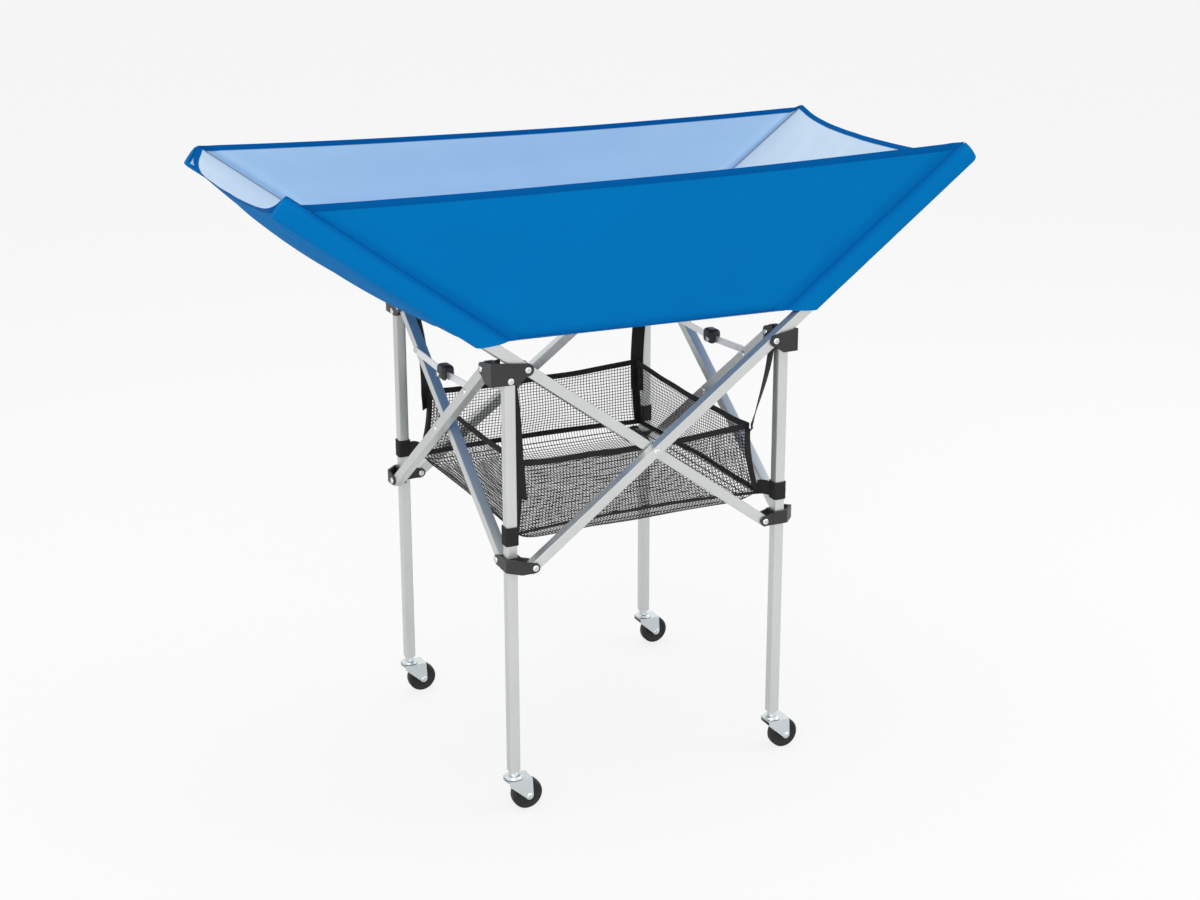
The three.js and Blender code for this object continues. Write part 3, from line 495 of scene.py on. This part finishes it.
# The crease mask is painted shade: it darkens the colour within 17 mm of a side seam and within 16 mm of the
# lower edge.
side_seam_shade = add_node(woven_cloth, "ShaderNodeMapRange", {"Value": seams.outputs["X"], "From Max": 0.017,
                                                           "To Min": 1.0, "To Max": 0.0},
                       interpolation_type="SMOOTHSTEP")
low_edge_shade = add_node(woven_cloth, "ShaderNodeMapRange", {"Value": seams.outputs["Y"], "From Max": 0.016,
                                                          "To Min": 0.8, "To Max": 0.0},
                      interpolation_type="SMOOTHSTEP")
crease_shade = add_node(woven_cloth, "ShaderNodeMath", {0: side_seam_shade.outputs[0], 1: low_edge_shade.outputs[0]},
                  operation="MAXIMUM")
thread = add_node(woven_cloth, "ShaderNodeMath", {0: seams.outputs["X"], 1: 0.0014}, operation="LESS_THAN")
cloud = add_node(woven_cloth, "ShaderNodeTexNoise",
                 {"Vector": given.outputs["Place"], "Scale": 9.0, "Detail": 4.0})
for label, made in (("Weave", weave), ("Hem", hem), ("Stitch", stitch), ("Cloud", cloud), ("Crease Shade", crease_shade),
                    ("Thread", thread)):
    woven_cloth.links.new(made.outputs[0], result.inputs[label])


def cloth_finish(name, colour, second, hem_colour, crease_shade_colour, thread_colour, roughness, hem_width=0.0115):
    made = bpy.data.materials.new(name)
    made.use_nodes = True
    tree = made.node_tree
    shader = tree.nodes["Principled BSDF"]
    cloth = add_node(tree, "ShaderNodeGroup", node_tree=woven_cloth)
    for uv_map, socket in (("cloth", "Place"), ("seams", "Seams")):
        place = add_node(tree, "ShaderNodeUVMap", uv_map=uv_map)
        tree.links.new(place.outputs[0], cloth.inputs[socket])
    cloth.inputs["Hem Width"].default_value = hem_width
    tint = add_node(tree, "ShaderNodeMix", {"Factor": cloth.outputs["Cloud"], "A": (*colour, 1),
                                            "B": (*second, 1)}, data_type="RGBA")
    # The crease mask paints shade, mixing towards the crease colour beside the seams and along the lower
    # edge; the thread mask is the seam line and the hem mask the folded rim.
    for mask, shade in (("Crease Shade", crease_shade_colour), ("Thread", thread_colour), ("Hem", hem_colour)):
        tint = add_node(tree, "ShaderNodeMix", {"Factor": cloth.outputs[mask], "A": tint.outputs["Result"],
                                                "B": (*shade, 1)}, data_type="RGBA")
    tree.links.new(tint.outputs["Result"], shader.inputs["Base Color"])
    rough = add_node(tree, "ShaderNodeMapRange", {"Value": cloth.outputs["Weave"], "From Min": -1.0,
                                                  "To Min": roughness + 0.06, "To Max": roughness - 0.06})
    tree.links.new(rough.outputs["Result"], shader.inputs["Roughness"])
    shader.inputs["Specular IOR Level"].default_value = 0.02
    fine = add_node(tree, "ShaderNodeBump",
                    {"Height": cloth.outputs["Weave"], "Strength": 0.12, "Distance": 0.0003})
    raised = add_node(tree, "ShaderNodeMath", {0: cloth.outputs["Hem"], 1: cloth.outputs["Stitch"]},
                      operation="SUBTRACT")
    sunk = add_node(tree, "ShaderNodeMath", {0: raised.outputs[0], 1: cloth.outputs["Thread"]},
                    operation="SUBTRACT")
    edge = add_node(tree, "ShaderNodeBump", {"Height": sunk.outputs[0], "Strength": 0.6, "Distance": 0.0012,
                                             "Normal": fine.outputs[0]})
    tree.links.new(edge.outputs[0], shader.inputs["Normal"])
    return made


# The crease colours below are painted shade beside the seams and along the lower edge; the second blue is
# also the colour of the blue seam line.
deep_blue, shade_and_seam_blue = (0.0002, 0.098, 0.335), (0.0002, 0.112, 0.375)
bright_blue, brighter_blue = (0.0002, 0.152, 0.440), (0.0002, 0.172, 0.475)
blue_cloth = cloth_finish("blue_cloth", bright_blue, brighter_blue, deep_blue, shade_and_seam_blue, shade_and_seam_blue, 0.66)
pale_cloth = cloth_finish("pale_lining", (0.37, 0.555, 0.785), (0.43, 0.615, 0.825), deep_blue,
                          (0.35, 0.53, 0.77), (0.24, 0.32, 0.46), 0.72, 0.0092)
end_lining = cloth_finish("end_lining", (0.51, 0.63, 0.76), (0.58, 0.695, 0.80), deep_blue,
                          (0.49, 0.61, 0.75), (0.30, 0.36, 0.44), 0.72, 0.0095)


cloth_thick = 0.0009


def two_faced_sheet(name, columns, rows, place, outward, lining=pale_cloth, keep_cell=None):
    """A sheet laid out by place(u, v), which gives a point, its place on the flat cloth, and how far
    the side and lower seams are. Faces that look along outward are blue, and the others are pale."""
    bm = bmesh.new()
    bmesh.ops.create_grid(bm, x_segments=columns, y_segments=rows, size=0.5)
    if keep_cell:
        spare = [f for f in bm.faces if not keep_cell(*(f.calc_center_median().xy + Vector((0.5, 0.5))))]
        bmesh.ops.delete(bm, geom=spare, context="FACES")
    cloth_map, seam_map = bm.loops.layers.uv.new("cloth"), bm.loops.layers.uv.new("seams")
    for vert in bm.verts:
        vert.co, flat, apart = place(vert.co.x + 0.5, vert.co.y + 0.5)
        for loop in vert.link_loops:
            loop[cloth_map].uv, loop[seam_map].uv = flat, apart
    bm.normal_update()
    area = sum(f.calc_area() for f in bm.faces)
    if sum(f.normal.dot(outward) * f.calc_area() for f in bm.faces) < 0:
        bmesh.ops.reverse_faces(bm, faces=bm.faces)
    bmesh.ops.solidify(bm, geom=list(bm.faces), thickness=cloth_thick)
    bm.normal_update()
    for face in bm.faces:
        face.material_index = 0 if face.normal.dot(outward) > -0.2 else 1
    piece = finish_mesh(bm, name, [blue_cloth, lining], 60)
    return piece, area


run, rise = math.cos(tilt), math.sin(tilt)
seam, tip = 0.0223, 0.4524
cloth_low = 0.763


def bow(t):
    return max(0.0, 4 * t * (1 - t))


def arm_point(side, s, d, y):
    return Vector((side * (pivot + s * run - d * rise), y, top_z + s * rise + d * run))


def arm_level(z, d):
    return (z - top_z - d * run) / rise


def smooth(t):
    t = min(1, max(0, t))
    return t * t * (3 - 2 * t)


def front_surface(u, v, dip):
    u = 0.5 - 0.5 * math.cos(math.pi * u)
    s = arm_level(cloth_low, seam) * (1 - v) + tip * v
    left, right = arm_point(-1, s, seam, -half), arm_point(1, s, seam, -half - step)
    point = left.lerp(right, u)
    drop = dip * smooth(u / 0.018) * (1 - u) ** 1.5
    point.z -= (0.0095 * bow(u) + drop) * v ** 2
    ripple = noise.noise(Vector((point.x * 5, point.z * 9, 1.7))) * 0.0022
    ripple += noise.noise(Vector((point.x * 1.6, point.z * 24, 5.2))) * 0.0012
    point.y += (-0.004 * bow(v) + ripple) * min(1, bow(u) * 3)
    height = (tip - arm_level(cloth_low, seam)) * rise
    aside, above = min(u, 1 - u) * (right.x - left.x) * rise, v * height
    point.y += 0.0022 * math.exp(-((aside - 0.010) / 0.007) ** 2) * smooth(aside / 0.010)
    point.y += 0.0030 * smooth(1 - above / 0.014) * smooth(aside / 0.02)
    return point, (point.x, (1 - v) * height), (aside, above)


for face, sign in (("front", 1), ("back", -1)):
    def turned_surface(u, v):
        point, flat, apart = front_surface(u, v, 0.014 if face == "front" else 0.003)
        return Vector((sign * point.x, sign * point.y, point.z)), flat, apart

    panel, area = two_faced_sheet(f"{face}_cloth_panel", 150, 48, turned_surface, Vector((0, -sign, 0)))
    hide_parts(f"hammock_{face}_panel")
    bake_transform(panel)


# The hammock's end and bottom panels. The end panels drop from the arms' seams round the sleeves
# and hang between the arms, and the bottom panel hangs between the other four.
ends = {"left": (1, 0.027, 0.010, 0.0019, "front_inner_arm", -half),
        "right": (-1, 0.021, 0.025, 0.0036, "front_outer_arm", -half - step)}


def end_surface(side, u, v):
    sign, drop, hang, folds, *_ = ends[side]
    y = (-half + 0.0012) * (1 - u) + (half + step - 0.0012) * u
    across = abs(2 * u - 1)
    sag = drop * (1 - across ** 12) + (hang + 0.014 * bow(v) + 0.004 * (1 - v)) * (1 - across ** 2.4)
    # beside the seam the cloth lies on the sleeve
    aside = min(u, 1 - u) * (2 * half + step) + 0.0012
    d = seam - 0.0008 - min(sag, 0.95 * aside - 0.0016 + 5 * max(0.0, aside - 0.0115))
    low = arm_level(cloth_low - 0.008 * bow(u), d)
    s = low * (1 - v) + (tip - 0.0006) * v
    fold = noise.noise(Vector((u * 9, s * 2.2, 4.1 + drop * 90)))
    fold += 0.5 * noise.noise(Vector((u * 21 + s * 6, s * 5, 7.3)))
    calm = 1 - 0.85 * smooth((v - 0.80) / 0.18)
    calm *= smooth((aside - 0.011) / 0.03)
    d += 0.0024 * fold * calm
    from_back = (u if side == "right" else 1 - u) * (2 * half + step)
    slant = from_back - 0.06 * (tip - s)
    d += folds * math.cos(2 * math.pi * slant / 0.046) * math.exp(-from_back / 0.12) * calm
    point = arm_point(-1, s, d, y)
    point.xy *= sign
    return point, (y, (1 - v) * (tip - low)), (min(u, 1 - u) * 2 * half, 1.0)


for side, (sign, *_, body, anchor) in ends.items():
    panel, area = two_faced_sheet(f"{side}_cloth_end", 110, 64, lambda u, v: end_surface(side, u, v),
                                  Vector((-sign * rise, 0, -run)), end_lining)
    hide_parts(f"hammock_{side}_panel")
    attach(panel, body)
    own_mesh(panel)


def bottom_surface(u, v):
    left, right = end_surface("left", v, 0)[0], end_surface("right", 1 - v, 0)[0]
    x = left.x * (1 - u) + right.x * u
    across = x / 0.222 / 2 + 0.5
    front = -half - step * across + 0.0012
    back = half + step * (1 - across) - 0.0012
    y = front * (1 - v) + back * v
    edge = cloth_low - 0.008 * bow(v)
    z = edge - 0.008 * bow(u) * bow(v) + (left.z - edge) * (1 - u) ** 8 + (right.z - edge) * u ** 8
    z += 0.002 * noise.noise(Vector((x * 14, y * 5, 2.2))) * min(1, 3 * bow(u)) * min(1, 3 * bow(v))
    aside = min(min(u, 1 - u), min(v, 1 - v)) * 0.47
    return Vector((x, y, z)), (x, y + 1), (aside, 1.0)


# Cloth and net are each cut into a part along every side, no deeper than the folded frame, and a
# middle. Each part rides on one frame body, and the middle rides on the front left frame.
deep, folded = 0.3125, 0.375
nearest = {
    "front": (lambda u, v: v < min(u, 1 - u, deep) + 1e-6, "front_left_frame", (1, 0, 0)),
    "back": (lambda u, v: 1 - v < min(u, 1 - u, deep) + 1e-6, "back_left_frame", (1, 0, 0)),
    "left": (lambda u, v: u < min(v - 1e-6, 1 - v - 1e-6, deep), "front_left_frame", (0, 1, 0)),
    "right": (lambda u, v: 1 - u < min(v - 1e-6, 1 - v - 1e-6, deep), "front_right_frame", (0, 1, 0)),
}


def in_middle(u, v):
    return not any(inside(u, v) for inside, body, axis in nearest.values())


def gathered(piece, nodes, body):
    """The piece stands for the nodes and rides on the body."""
    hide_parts(*nodes)
    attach(piece, body)
    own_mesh(piece)


for side, (inside, body, axis) in nearest.items():
    panel, area = two_faced_sheet(f"{side}_cloth_bottom", 64, 64, bottom_surface, Vector((0, 0, -1)),
                                  keep_cell=inside)
    gathered(panel, ["hammock_bottom_panel"], body)
middle, area = two_faced_sheet("middle_cloth_bottom", 64, 64, bottom_surface, Vector((0, 0, -1)),
                               keep_cell=in_middle)
gathered(middle, ["hammock_bottom_panel"], "front_left_frame")


# The sleeves: cloth folded round each arm and sewn to itself, so that it draws in to the seam. Each
# is closed over the arm's tip and cut off above the bracket.
# On the sleeves the crease colour paints shade beside the sleeve's seam.
sleeve_cloth = cloth_finish("sleeve_cloth", bright_blue, brighter_blue, deep_blue, shade_and_seam_blue, shade_and_seam_blue, 0.66,
                            0.0)
section = [(0.0223, 0.0), (0.0190, 0.0030), (0.0158, 0.0062), (0.0125, 0.0088), (0.0090, 0.0102),
           (0.0040, 0.0108), (-0.0020, 0.0108), (-0.0070, 0.0104), (-0.0108, 0.0088), (-0.0130, 0.0058),
           (-0.0139, 0.0020)]
sleeve_round, sleeve_length = 0.085, 0.46
loop_points = section + [(d, -y) for d, y in reversed(section[1:])]
for corner, side, y, body in (("front_left", -1, -half, "front_inner_arm"),
                              ("front_right", 1, -half - step, "front_outer_arm"),
                              ("back_left", -1, half + step, "back_outer_arm"),
                              ("back_right", 1, half, "back_inner_arm")):
    bm = bmesh.new()
    bmesh.ops.create_grid(bm, x_segments=len(loop_points), y_segments=60, size=0.5)
    cloth_map, seam_map = bm.loops.layers.uv.new("cloth"), bm.loops.layers.uv.new("seams")
    for vert in bm.verts:
        u, v = vert.co.x + 0.5, vert.co.y + 0.5
        d, out = loop_points[round(u * len(loop_points)) % len(loop_points)]
        low = arm_level(cloth_low, seam) + 0.002 + (seam - d) * 1.15
        s = low * (1 - v) + (tip + 0.0012) * v
        puff = 1 + 0.06 * noise.noise(Vector((s * 26, d * 60, side * 3.1 + y * 9)))
        closing = max(0.0, (s - tip + 0.006) / 0.0072) ** 2
        vert.co = arm_point(side, s, d * (1 - 0.10 * closing), y + out * puff * (1 - 0.35 * closing))
        for loop in vert.link_loops:
            loop[cloth_map].uv = (u * sleeve_round, tip - s + 0.0062)
            loop[seam_map].uv = (min(u, 1 - u) * sleeve_round + 0.005, 1.0)
    bmesh.ops.remove_doubles(bm, verts=bm.verts, dist=1e-6)
    far = [e for e in bm.edges if e.is_boundary and (e.verts[0].co.z + e.verts[1].co.z) / 2 > 0.93]
    cap = bmesh.ops.holes_fill(bm, edges=far, sides=0)["faces"]
    cap = bmesh.ops.poke(bm, faces=cap)["faces"]
    for loop in (loop for face in cap for loop in face.loops):
        loop[cloth_map].uv, loop[seam_map].uv = (0.04, 1.0), (1.0, 1.0)
    if corner.startswith("back"):
        for face in set(bm.faces) - set(cap):
            middle = face.calc_center_median()
            from_tip = middle - arm_point(side, tip, 0, y)
            upper = from_tip.length < 0.019 and from_tip.dot(Vector((-side * rise, 0, run))) > -0.006
            face.material_index = 1 if upper and middle.y < y - 0.002 else 0
    bmesh.ops.recalc_face_normals(bm, faces=bm.faces)
    if sum((f.calc_center_median().y - y) * f.normal.y for f in bm.faces) < 0:
        bmesh.ops.reverse_faces(bm, faces=bm.faces)
    area = sum(f.calc_area() for f in bm.faces)
    bmesh.ops.solidify(bm, geom=list(bm.faces), thickness=cloth_thick)
    sleeve = finish_mesh(bm, corner + "_cloth_sleeve", [sleeve_cloth, end_lining], 55, body,
                         [corner + "_arm_sleeve"])


# The tray: a square net bag of knitted mesh, bound with black tape along its rim, its foot and its
# corners, that hangs from the brackets by straps and is held to each leg by a band.
net_black = black_finish("black_mesh", (0.010, 0.0095, 0.010), 0.75, 2500.0)
tray_top, tray_foot, rim_half, foot_half = 0.564, 0.450, 0.200, 0.213
pitch, strand, net_thick = 0.0055, 0.0010, 0.0005
corner_tops = [0.562, 0.566, 0.573, 0.569]


def wall_reach(z):
    return foot_half + (z - tray_foot) / (tray_top - tray_foot) * (rim_half - foot_half)


def netting(name, width, height, place, keep_cell=None):
    """A net of square openings, laid out by place(u, v)."""
    bm = bmesh.new()
    columns, rows = round(width / pitch), round(height / pitch)
    bmesh.ops.create_grid(bm, x_segments=columns, y_segments=rows, size=0.5)
    if keep_cell:
        spare = [f for f in bm.faces if not keep_cell(*(f.calc_center_median().xy + Vector((0.5, 0.5))))]
        bmesh.ops.delete(bm, geom=spare, context="FACES")
    bmesh.ops.scale(bm, vec=(width, height, 1), verts=bm.verts)
    cells = list(bm.faces)
    bmesh.ops.inset_individual(bm, faces=cells, thickness=strand / 2, use_even_offset=True)
    bmesh.ops.delete(bm, geom=cells, context="FACES")
    for vert in bm.verts:
        vert.co = place(vert.co.x / width + 0.5, vert.co.y / height + 0.5)
    bm.normal_update()
    area = sum(f.calc_area() for f in bm.faces)
    bmesh.ops.solidify(bm, geom=list(bm.faces), thickness=net_thick)
    return finish_mesh(bm, name, net_black, 60), area


def wall_surface(u, v, turns):
    top = corner_tops[turns] * (1 - u) + corner_tops[(turns + 1) % 4] * u
    z = tray_foot * (1 - v) + top * v
    slack = min(1, 4 * bow(u)) * min(1, 3 * bow(v))
    ripple = noise.noise(Vector((u * 6 + turns * 7, v * 2, 0.4))) * 0.007 * slack
    reach = wall_reach(z) - bow(v) * (0.004 + 0.001 * min(1, 3 * bow(u))) + ripple
    reach -= (0.003 + 0.003 * noise.noise(Vector((u * 4, turns * 3, 6.1)))) * bow(u) * (1 - v)
    across = (2 * u - 1) * (wall_reach(z) - 0.004 * bow(v))
    z -= (0.006 * bow(u) + 0.002 * noise.noise(Vector((u * 5, turns, 0))) * min(1, 4 * bow(u))) * v
    z += 0.006 * bow(u) * (1 - v)
    return quarter((across, -reach, z), turns)


tray_sides = {"front": (0, "front_left_frame", (1, 0, 0)), "right": (1, "front_right_frame", (0, 1, 0)),
              "back": (2, "back_left_frame", (1, 0, 0)), "left": (3, "front_left_frame", (0, 1, 0))}
tape = black_finish("black_tape", (0.0095, 0.009, 0.0095), 0.8, 700.0, 0.4)


def ribbon(bm, points, across, width, thick=0.0016):
    """Adds a flat tape along points, its width along across."""
    part = bmesh.new()
    bmesh.ops.create_grid(part, x_segments=len(points) - 1, y_segments=2, size=0.5)
    for vert in part.verts:
        at = round((vert.co.x + 0.5) * (len(points) - 1))
        wide = across(at) if callable(across) else Vector(across)
        vert.co = Vector(points[at]) + wide.normalized() * (vert.co.y * width)
    part.normal_update()
    bmesh.ops.solidify(part, geom=list(part.faces), thickness=thick)
    bmesh.ops.recalc_face_normals(part, faces=part.faces)
    mesh = bpy.data.meshes.new("tape")
    part.to_mesh(mesh)
    part.free()
    bm.from_mesh(mesh)
    bpy.data.meshes.remove(mesh)


for side, (turns, body, axis) in tray_sides.items():
    wall, area = netting(f"{side}_net_wall", 2 * rim_half, tray_top - tray_foot,
                         lambda u, v: wall_surface(u, v, turns))
    gathered(wall, ["tray_wall_net"], body)

    bm = bmesh.new()
    for v, wide, lean, lift in ((1, 0.0095, 0, -0.003), (0, 0.0075, 1, 0.001)):
        points = [wall_surface(k / 40, v, turns) + quarter((0, -0.0012, 0), turns) + Vector((0, 0, lift))
                  for k in range(41)]
        ribbon(bm, points, quarter((0, -lean, 1), turns), wide, 0.0018)
    binding = finish_mesh(bm, f"{side}_tray_binding", tape, 40)
    gathered(binding, ["tray_top_binding", "tray_bottom_binding"], body)


def floor_surface(u, v):
    reach = foot_half - 0.003
    from_u, from_v = min(u, 1 - u) * 2 * reach, min(v, 1 - v) * 2 * reach
    steep = (1 - math.exp(-from_u / 0.009)) * (1 - math.exp(-from_v / 0.009))
    z = tray_foot - 0.001 - 0.017 * steep - 0.011 * (bow(u) * bow(v)) ** 0.6
    z += 0.006 * (bow(u) * math.exp(-from_v / 0.012) + bow(v) * math.exp(-from_u / 0.012))
    slack = min(1, 3 * bow(u)) * min(1, 3 * bow(v))
    z += 0.003 * noise.noise(Vector((u * 5, v * 5, 8.8))) * slack
    x, y = (2 * u - 1), (2 * v - 1)
    return Vector((x * (reach - 0.003 * bow(v) * abs(x)), y * (reach - 0.003 * bow(u) * abs(y)), z))


for side, (inside, body, axis) in nearest.items():
    base, area = netting(f"{side}_net_floor", 2 * foot_half, 2 * foot_half, floor_surface, inside)
    gathered(base, ["tray_floor_net"], body)
middle, area = netting("middle_net_floor", 2 * foot_half, 2 * foot_half, floor_surface, in_middle)
gathered(middle, ["tray_floor_net"], "front_left_frame")


# Straps and leg bands: flat webbing from inside each bracket to the tray's corner and on down its
# edge, and a wider elastic band round each leg with a tab to the tray's foot.
def rounded_loop(reach, radius, steps=5):
    points = []
    for cx, cy, start in ((1, 1, 0), (-1, 1, 90), (-1, -1, 180), (1, -1, 270)):
        for k in range(steps + 1):
            angle = math.radians(start + 90 * k / steps)
            points.append((cx * (reach - radius) + radius * math.cos(angle),
                           cy * (reach - radius) + radius * math.sin(angle)))
    return points


hangs = {
    "front_left": ((-0.2235, -0.2065), 0.0, 0.1, (-0.0050, 0.0035), 1.0, 0.054),
    "front_right": ((-0.2240, -0.2250), -0.16, 0.30, (0.0, 0.0), 2.0, 0.006),
    "back_right": ((-0.2205, -0.2125), 0.12, -0.05, (0.0, 0.0), 1.0, 0.054),
    "back_left": ((-0.2165, -0.2165), -0.20, -0.20, (0.0, 0.0), 1.0, 0.030),
}
strap_top, strap_wide, webbing_thick = 0.712, 0.0235, 0.0014
for turns, corner in enumerate(corners):
    top_place, top_twist, low_twist, shift, slack, tail_length = hangs[corner]
    square = math.radians(-45 + 90 * turns)
    bm = bmesh.new()
    drop, tail = 24, 8
    points, ways = [], []
    for k in range(drop + tail + 1):
        t = min(1, k / drop)
        below = max(0, k - drop) / tail
        sideways = t ** slack
        z = strap_top * (1 - t) + (corner_tops[turns] - 0.004) * t - tail_length * below
        reach = wall_reach(z) + 0.0034 - 0.004 * bow(min(1, (z - tray_foot) / (tray_top - tray_foot)))
        low_x, low_y = -reach + shift[0] * (1 - below), -reach + shift[1] * (1 - below)
        points.append(quarter((top_place[0] * (1 - sideways) + low_x * sideways,
                               top_place[1] * (1 - sideways) + low_y * sideways, z), turns))
        ways.append(square + (top_twist * (1 - t * t) + low_twist * t * t) * (1 - below))
    ribbon(bm, points, lambda at: Vector((math.cos(ways[at]), math.sin(ways[at]), 0)), strap_wide,
           webbing_thick)
    for folded, wide in (((1, 0), 0.003 if turns == 0 else 0.010), ((0, 1), 0.010)):
        lower = []
        for k in range(13):
            z = tray_top - 0.006 + (tray_foot - tray_top + 0.006) * k / 12
            reach = wall_reach(z) + 0.0014 - 0.004 * bow((z - tray_foot) / (tray_top - tray_foot))
            lower.append(quarter((-reach + folded[0] * wide / 2, -reach + folded[1] * wide / 2, z), turns))
        ribbon(bm, lower, quarter((*folded, 0), turns), wide, webbing_thick)
    tab = []
    for k in range(9):
        t = k / 8
        reach = (foot_half - 0.002) * (1 - t) + 0.2262 * t
        tab.append(quarter((-reach - 0.0008 * bow(t), -reach + 0.0008 * bow(t), 0.4600 + 0.002 * bow(t)),
                           turns))
    ribbon(bm, tab, (0, 0, 1), 0.024, webbing_thick)
    body = body_of[corner + "_leg"]
    finish_mesh(bm, corner + "_webbing_strap", tape, 40, body, [corner + "_tray_strap"])

    band = bmesh.new()
    outline = rounded_loop(0.0108, 0.004)
    bmesh.ops.create_grid(band, x_segments=len(outline), y_segments=8, size=0.5)
    for vert in band.verts:
        x, y = outline[round((vert.co.x + 0.5) * len(outline)) % len(outline)]
        swell = 1 + 0.03 * math.cos(2 * math.pi * (vert.co.y + 0.5) * 2) * (0.5 - abs(vert.co.y))
        z = 0.446 + 0.029 * (vert.co.y + 0.5)
        vert.co = quarter((-half + x * swell, -half + y * swell, z), turns)
    bmesh.ops.remove_doubles(band, verts=band.verts, dist=1e-6)
    bmesh.ops.recalc_face_normals(band, faces=band.faces)
    bmesh.ops.solidify(band, geom=list(band.faces), thickness=0.0012)
    bmesh.ops.recalc_face_normals(band, faces=band.faces)
    finish_mesh(band, corner + "_leg_loop", tape, 45, body, [corner + "_leg_band"])
